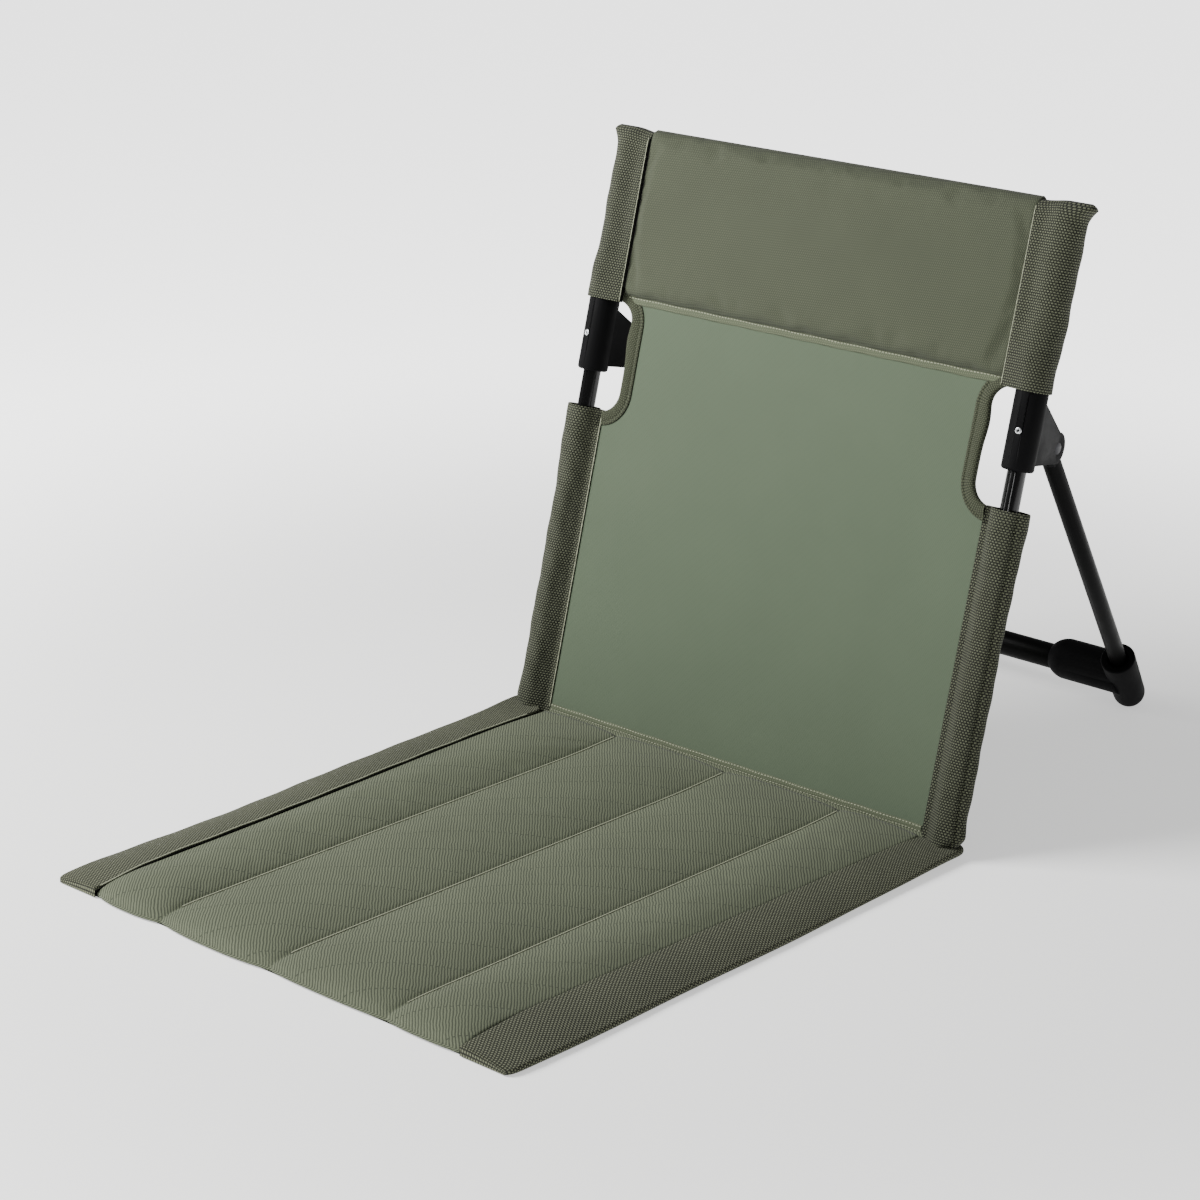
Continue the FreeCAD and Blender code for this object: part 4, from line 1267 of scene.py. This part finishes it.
    def hem_rows(self, side: Side, y: np.ndarray) -> np.ndarray:
        """Points of a side hem: its lip over the quilt, its slope and the bead at its edge.

        Args:
            side: which side.
            y: places along the seat, as far as the knob behind the fold.
        Returns: rows by columns by 3.
        """
        size, lifted = self.size, self.lifted(side, y)
        front = quarter(y - size.front, size.hem_round)
        back = ease(y, *size.back_span)
        knob = np.sqrt(1 - np.clip((y - size.knob_start) / (size.knob_end - size.knob_start), 0, 1) ** 2.6)
        # Across: the inner edge, and the outer one, which draws in to the knob
        inner = self.hem_line(side, y) - size.hem_lap + size.knob_in * ease(y, *size.knob_in_span)
        outer = size.half + (size.half_rear - size.half) * back + size.rear_out * lifted
        outer = outer + size.hem_sway * np.sin(2 * np.pi * y / size.hem_sway_length) * front * (1 - back)
        if side is Side.RIGHT:
            outer = outer + size.front_bow * np.exp(-((y - size.bow_at) / size.bow_reach) ** 2)
        outer = outer - size.hem_corner * (1 - quarter(y - size.front, size.hem_corner_round))
        outer = size.knob_x + (outer - size.knob_x) * knob
        # Upward: the underside, the outer edge and the top of the lip
        low = size.hem_low + size.hem_low_rear * ease(y, *size.hem_low_span) + 0.9 * size.edge_lift * lifted
        edge = size.lip + (size.hem_edge - size.lip) * front + size.edge_lift * lifted
        edge = edge + (size.hem_edge_rear - size.hem_edge) * ease(y, *size.hem_edge_span)
        rise = size.corner_rise * ease(y, *size.corner_span) * (side is Side.LEFT)
        low = size.knob_low + (low - size.knob_low) * knob + 0.6 * rise
        edge = size.knob_edge + (edge - size.knob_edge) * knob + rise
        top = np.interp(y, *self.rims[side]) + size.hem_over
        top = top + (size.knob_top + size.edge_lift * lifted / 2 - top) * ease(y, *size.knob_top_span)
        top = edge + (top - edge) * knob
        half = (edge - low) / 2
        lip = np.array(self.HEM_LIP) * MM
        xs = [inner + out * knob for out in lip[:, 0]]
        zs = [top + over * knob for over in lip[:, 1]]
        start, crest, stop = xs[-1], zs[-1], outer - half
        for u in np.linspace(0, 1, 15)[1:]:
            xs.append(start + (stop - start) * u)
            zs.append(crest + (edge - crest) * (0.3 * u + 0.7 * u ** 2.4))
        for angle in np.radians(self.HEM_BEAD):
            xs.append(outer - half + half * math.cos(angle))
            zs.append(low + half + half * math.sin(angle))
        xs.append(inner + size.ground_lap * knob)
        zs.append(low)
        x, z = np.stack(xs, axis=1), np.maximum(np.stack(zs, axis=1), size.hem_low)
        wave = size.hem_wave * np.sin(2 * np.pi * y / size.hem_wave_length + side.value) * front * (1 - back)
        z = z + wave[:, None] * (z > size.hem_wave_above)
        return np.stack([side.value * x, y[:, None] + 0 * x, z], axis=-1)

    def build_hem(self, side: Side) -> None:
        """Heavy hem along one side, and the gusset that carries it round the fold to the sleeve.

        Args:
            side: which side.
        """
        size = self.size
        finishes = self.shop.get(HEM_CLOTH_PAINTED_LIGHT), self.shop.get(PAINTED_SEAM_SHADE)
        y = size.front + (size.hem_end - size.front) * np.linspace(0, 1, 140) ** 1.15
        points = self.hem_rows(side, y)
        run = run_along(points[len(y) // 2])
        flat = flat_grid(run, y)
        mesh = ClothMesh("seat_hem_cloth_" + side.label).grid(points, flat, tucked=self.HEM_PAINTED_SHADE)
        mesh.wall(points[0], points[0] * [1, 1, 0] + [0, 0, size.hem_low], flat[0], (0, 4 * MM))
        piece = self.own(mesh.build(*finishes), "sleeve_cloth", "seat_hem_" + side.label)
        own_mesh(piece)
        # Painted highlight: a pale line along the lit lip of the left hem
        if side is Side.LEFT:
            self.stitches_and_highlights.painted_line(points[3:, 3], UP, size.hem_painted_line)
        # Painted shadow: a dark line in the gap under the hem's lip
        self.painted_shadows.painted_line(points[3:, 2] - [side.value * 0.6 * MM, 0, 0.5 * MM], UP, size.hem_painted_line)
        y = size.hem_end + (size.knob_end - size.hem_end) * np.sin(np.linspace(0, np.pi / 2, 36))
        mesh = ClothMesh("corner_gusset_" + side.label)
        gusset = mesh.grid(self.hem_rows(side, y), flat_grid(run, y), tucked=self.HEM_PAINTED_SHADE).build(*finishes)
        self.own(gusset, "sleeve_cloth", "corner_seam_" + side.label, bend=(size.fold_start, size.fold_end))

    def build_fold(self) -> bpy.types.Object:
        """Narrow cloth in the crease between quilt and panel.

        Returns: the piece.
        """
        size = self.size
        edge = self.rear_edge * [1.01, 1, 1]
        edge[:, 2] = np.maximum(edge[:, 2], 8 * MM)
        panel = self.plane.place(edge[:, 0], -1.1 * MM, 13 * MM)
        # From under the quilt's edge, over it and down into the crease, then up to the panel
        points = np.stack([
            edge + [0, -2 * MM, -1.2 * MM], edge + [0, 0.2 * MM, -0.5 * MM], edge + [0, 0.9 * MM, -1.4 * MM],
            panel * [1, 1, 0] + [0, -0.9 * MM, 10.2 * MM], panel])
        flat = flat_grid(edge[:, 0], np.array([0.0, 2.3, 3.4, 5.0, 7.5]) * MM)
        piece = ClothMesh("fold_gusset").grid(points, flat).build(self.shop.get(QUILT_CLOTH))
        return self.own(piece, "quilt_cloth", bend=(size.rear, size.rear + 2 * MM))

    def build_ground(self, fold: bpy.types.Object) -> None:
        """Ground sheet under the mat.

        Args:
            fold: the cloth in the crease; not used.
        """
        size = self.size
        y = np.linspace(size.front + size.ground_front, size.rear - size.ground_rear, 51)
        left, right = (self.hem_line(side, y) + size.ground_lap for side in Side)
        x = -left[:, None] + (left + right)[:, None] * np.linspace(0, 1, 41)
        flat = np.stack([x, y[:, None] + 0 * x], axis=-1)
        mesh = ClothMesh("ground_sheet")
        for z in (size.ground_low, size.ground_high):
            mesh.grid(np.concatenate([flat, np.full_like(flat[..., :1], z)], axis=-1), flat)
        piece = self.own(mesh.build(self.shop.get(GROUND_CLOTH)), "ground_cloth", "seat_base")

    def build(self) -> None:
        """Make every piece of the seat."""
        self.build_quilt()
        for side in Side:
            self.build_hem(side)
        self.build_ground(self.build_fold())
        self.sew()


class RearStand(Part):
    """Folding legs, feet and cross bar: rigid, so only finished."""

    body = "rear_stand"

    def dress(self) -> None:
        """Finish the rigid pieces of the stand."""
        self.finish_nodes(TUBE_COAT, *Side.both("leg"), "foot_bar")
        self.finish_nodes(NYLON, *Side.both("leg_tongue", "foot"))


@dataclass(frozen=True)
class Studio:
    """Pale floor, soft light and the camera of the photo."""

    floor_reach: float = 12.0
    floor_level: float = -0.4 * MM
    glow_near: float = 0.45
    glow_far: float = 1.3
    glow_low: float = 0.7
    glow_high: float = 2.4
    sky: float = 0.22
    aim: tuple[float, float, float] = (0.0, -0.05, 0.15)
    lens: float = 100.26
    sensor: float = 36.0
    eye: tuple[float, float, float] = (1.44624, -1.63516, 0.88592)
    right: tuple[float, float, float] = (0.7313, 0.6821, 0.0)
    up: tuple[float, float, float] = (-0.2179, 0.2339, 0.9475)

    def build(self) -> None:
        """Make the floor, the lights and the camera."""
        self.build_floor()
        self.build_lights()
        self.build_camera()

    def build_floor(self) -> None:
        """Wide pale floor that glows as painted light, more brightly away from the chair."""
        mesh = bpy.data.meshes.new("floor")
        corners = ((-1, -1), (1, -1), (1, 1), (-1, 1))
        reach, level = self.floor_reach, self.floor_level
        mesh.from_pydata([(reach * x, reach * y, level) for x, y in corners], [], [(0, 1, 2, 3)])
        floor = bpy.data.objects.new("floor", mesh)
        material = bpy.data.materials.new("floor_paper_painted_glow")
        material.use_nodes = True
        tree = material.node_tree
        shader = tree.nodes["Principled BSDF"]
        place = add_node(tree, "ShaderNodeTexCoord")
        away = add_node(tree, "ShaderNodeVectorMath", {0: place.outputs["Object"]}, operation="LENGTH")
        # Painted light: the floor's glow is weak near the chair and strong further away
        glow = add_node(tree, "ShaderNodeMapRange", {
            "Value": away.outputs["Value"], "From Min": self.glow_near, "From Max": self.glow_far,
            "To Min": self.glow_low, "To Max": self.glow_high}, interpolation_type="SMOOTHSTEP")
        tree.links.new(glow.outputs["Result"], shader.inputs["Emission Strength"])
        shader.inputs["Base Color"].default_value = linear("#f4f4f2")
        shader.inputs["Roughness"].default_value = 0.9
        shader.inputs["Emission Color"].default_value = linear("#ffffff")
        mesh.materials.append(material)
        bpy.context.scene.collection.objects.link(floor)

    def build_lights(self) -> None:
        """Large soft key at the camera's left, a weaker fill and an even sky."""
        world = bpy.data.worlds.new("studio")
        world.use_nodes = True
        sky = world.node_tree.nodes["Background"]
        sky.inputs["Color"].default_value = linear("#ffffff")
        sky.inputs["Strength"].default_value = self.sky
        bpy.context.scene.world = world
        self.add_area("key", (-1.15, -1.05, 1.35), size=1.1, power=74.0)
        self.add_area("fill", (1.9, -1.6, 1.6), size=1.4, power=1.5)

    def add_area(self, name: str, place: tuple[float, float, float], size: float, power: float) -> None:
        """Add a square soft light that faces the chair.

        Args:
            name: name of the light.
            place: where it stands.
            size: its side.
            power: its power in watts.
        """
        data = bpy.data.lights.new(name, "AREA")
        data.size = size
        data.energy = power
        light = bpy.data.objects.new(name, data)
        light.location = place
        light.rotation_mode = "QUATERNION"
        light.rotation_quaternion = (Vector(self.aim) - Vector(place)).to_track_quat("-Z", "Y")
        bpy.context.scene.collection.objects.link(light)

    def build_camera(self) -> None:
        """Camera at the photo's angle, from a fit of the chair's corners."""
        data = bpy.data.cameras.new("camera")
        data.sensor_fit = "HORIZONTAL"
        data.sensor_width = self.sensor
        data.lens = self.lens
        data.clip_start, data.clip_end = 0.1, 50.0
        camera = bpy.data.objects.new("camera", data)
        right, up = Vector(self.right), Vector(self.up)
        turn = Matrix((right, up, right.cross(up))).transposed().to_4x4()
        camera.matrix_world = Matrix.Translation(self.eye) @ turn
        bpy.context.scene.collection.objects.link(camera)
        bpy.context.scene.camera = camera


def main() -> None:
    """Build the looks of the chair."""
    logging.basicConfig(level=logging.INFO)
    shop = FinishShop()
    back, seat, stand = Backrest(shop), SeatMat(shop), RearStand(shop)
    back.build()
    back.dress()
    seat.build()
    stand.dress()
    Studio().build()


if __name__ == "__main__":
    main()
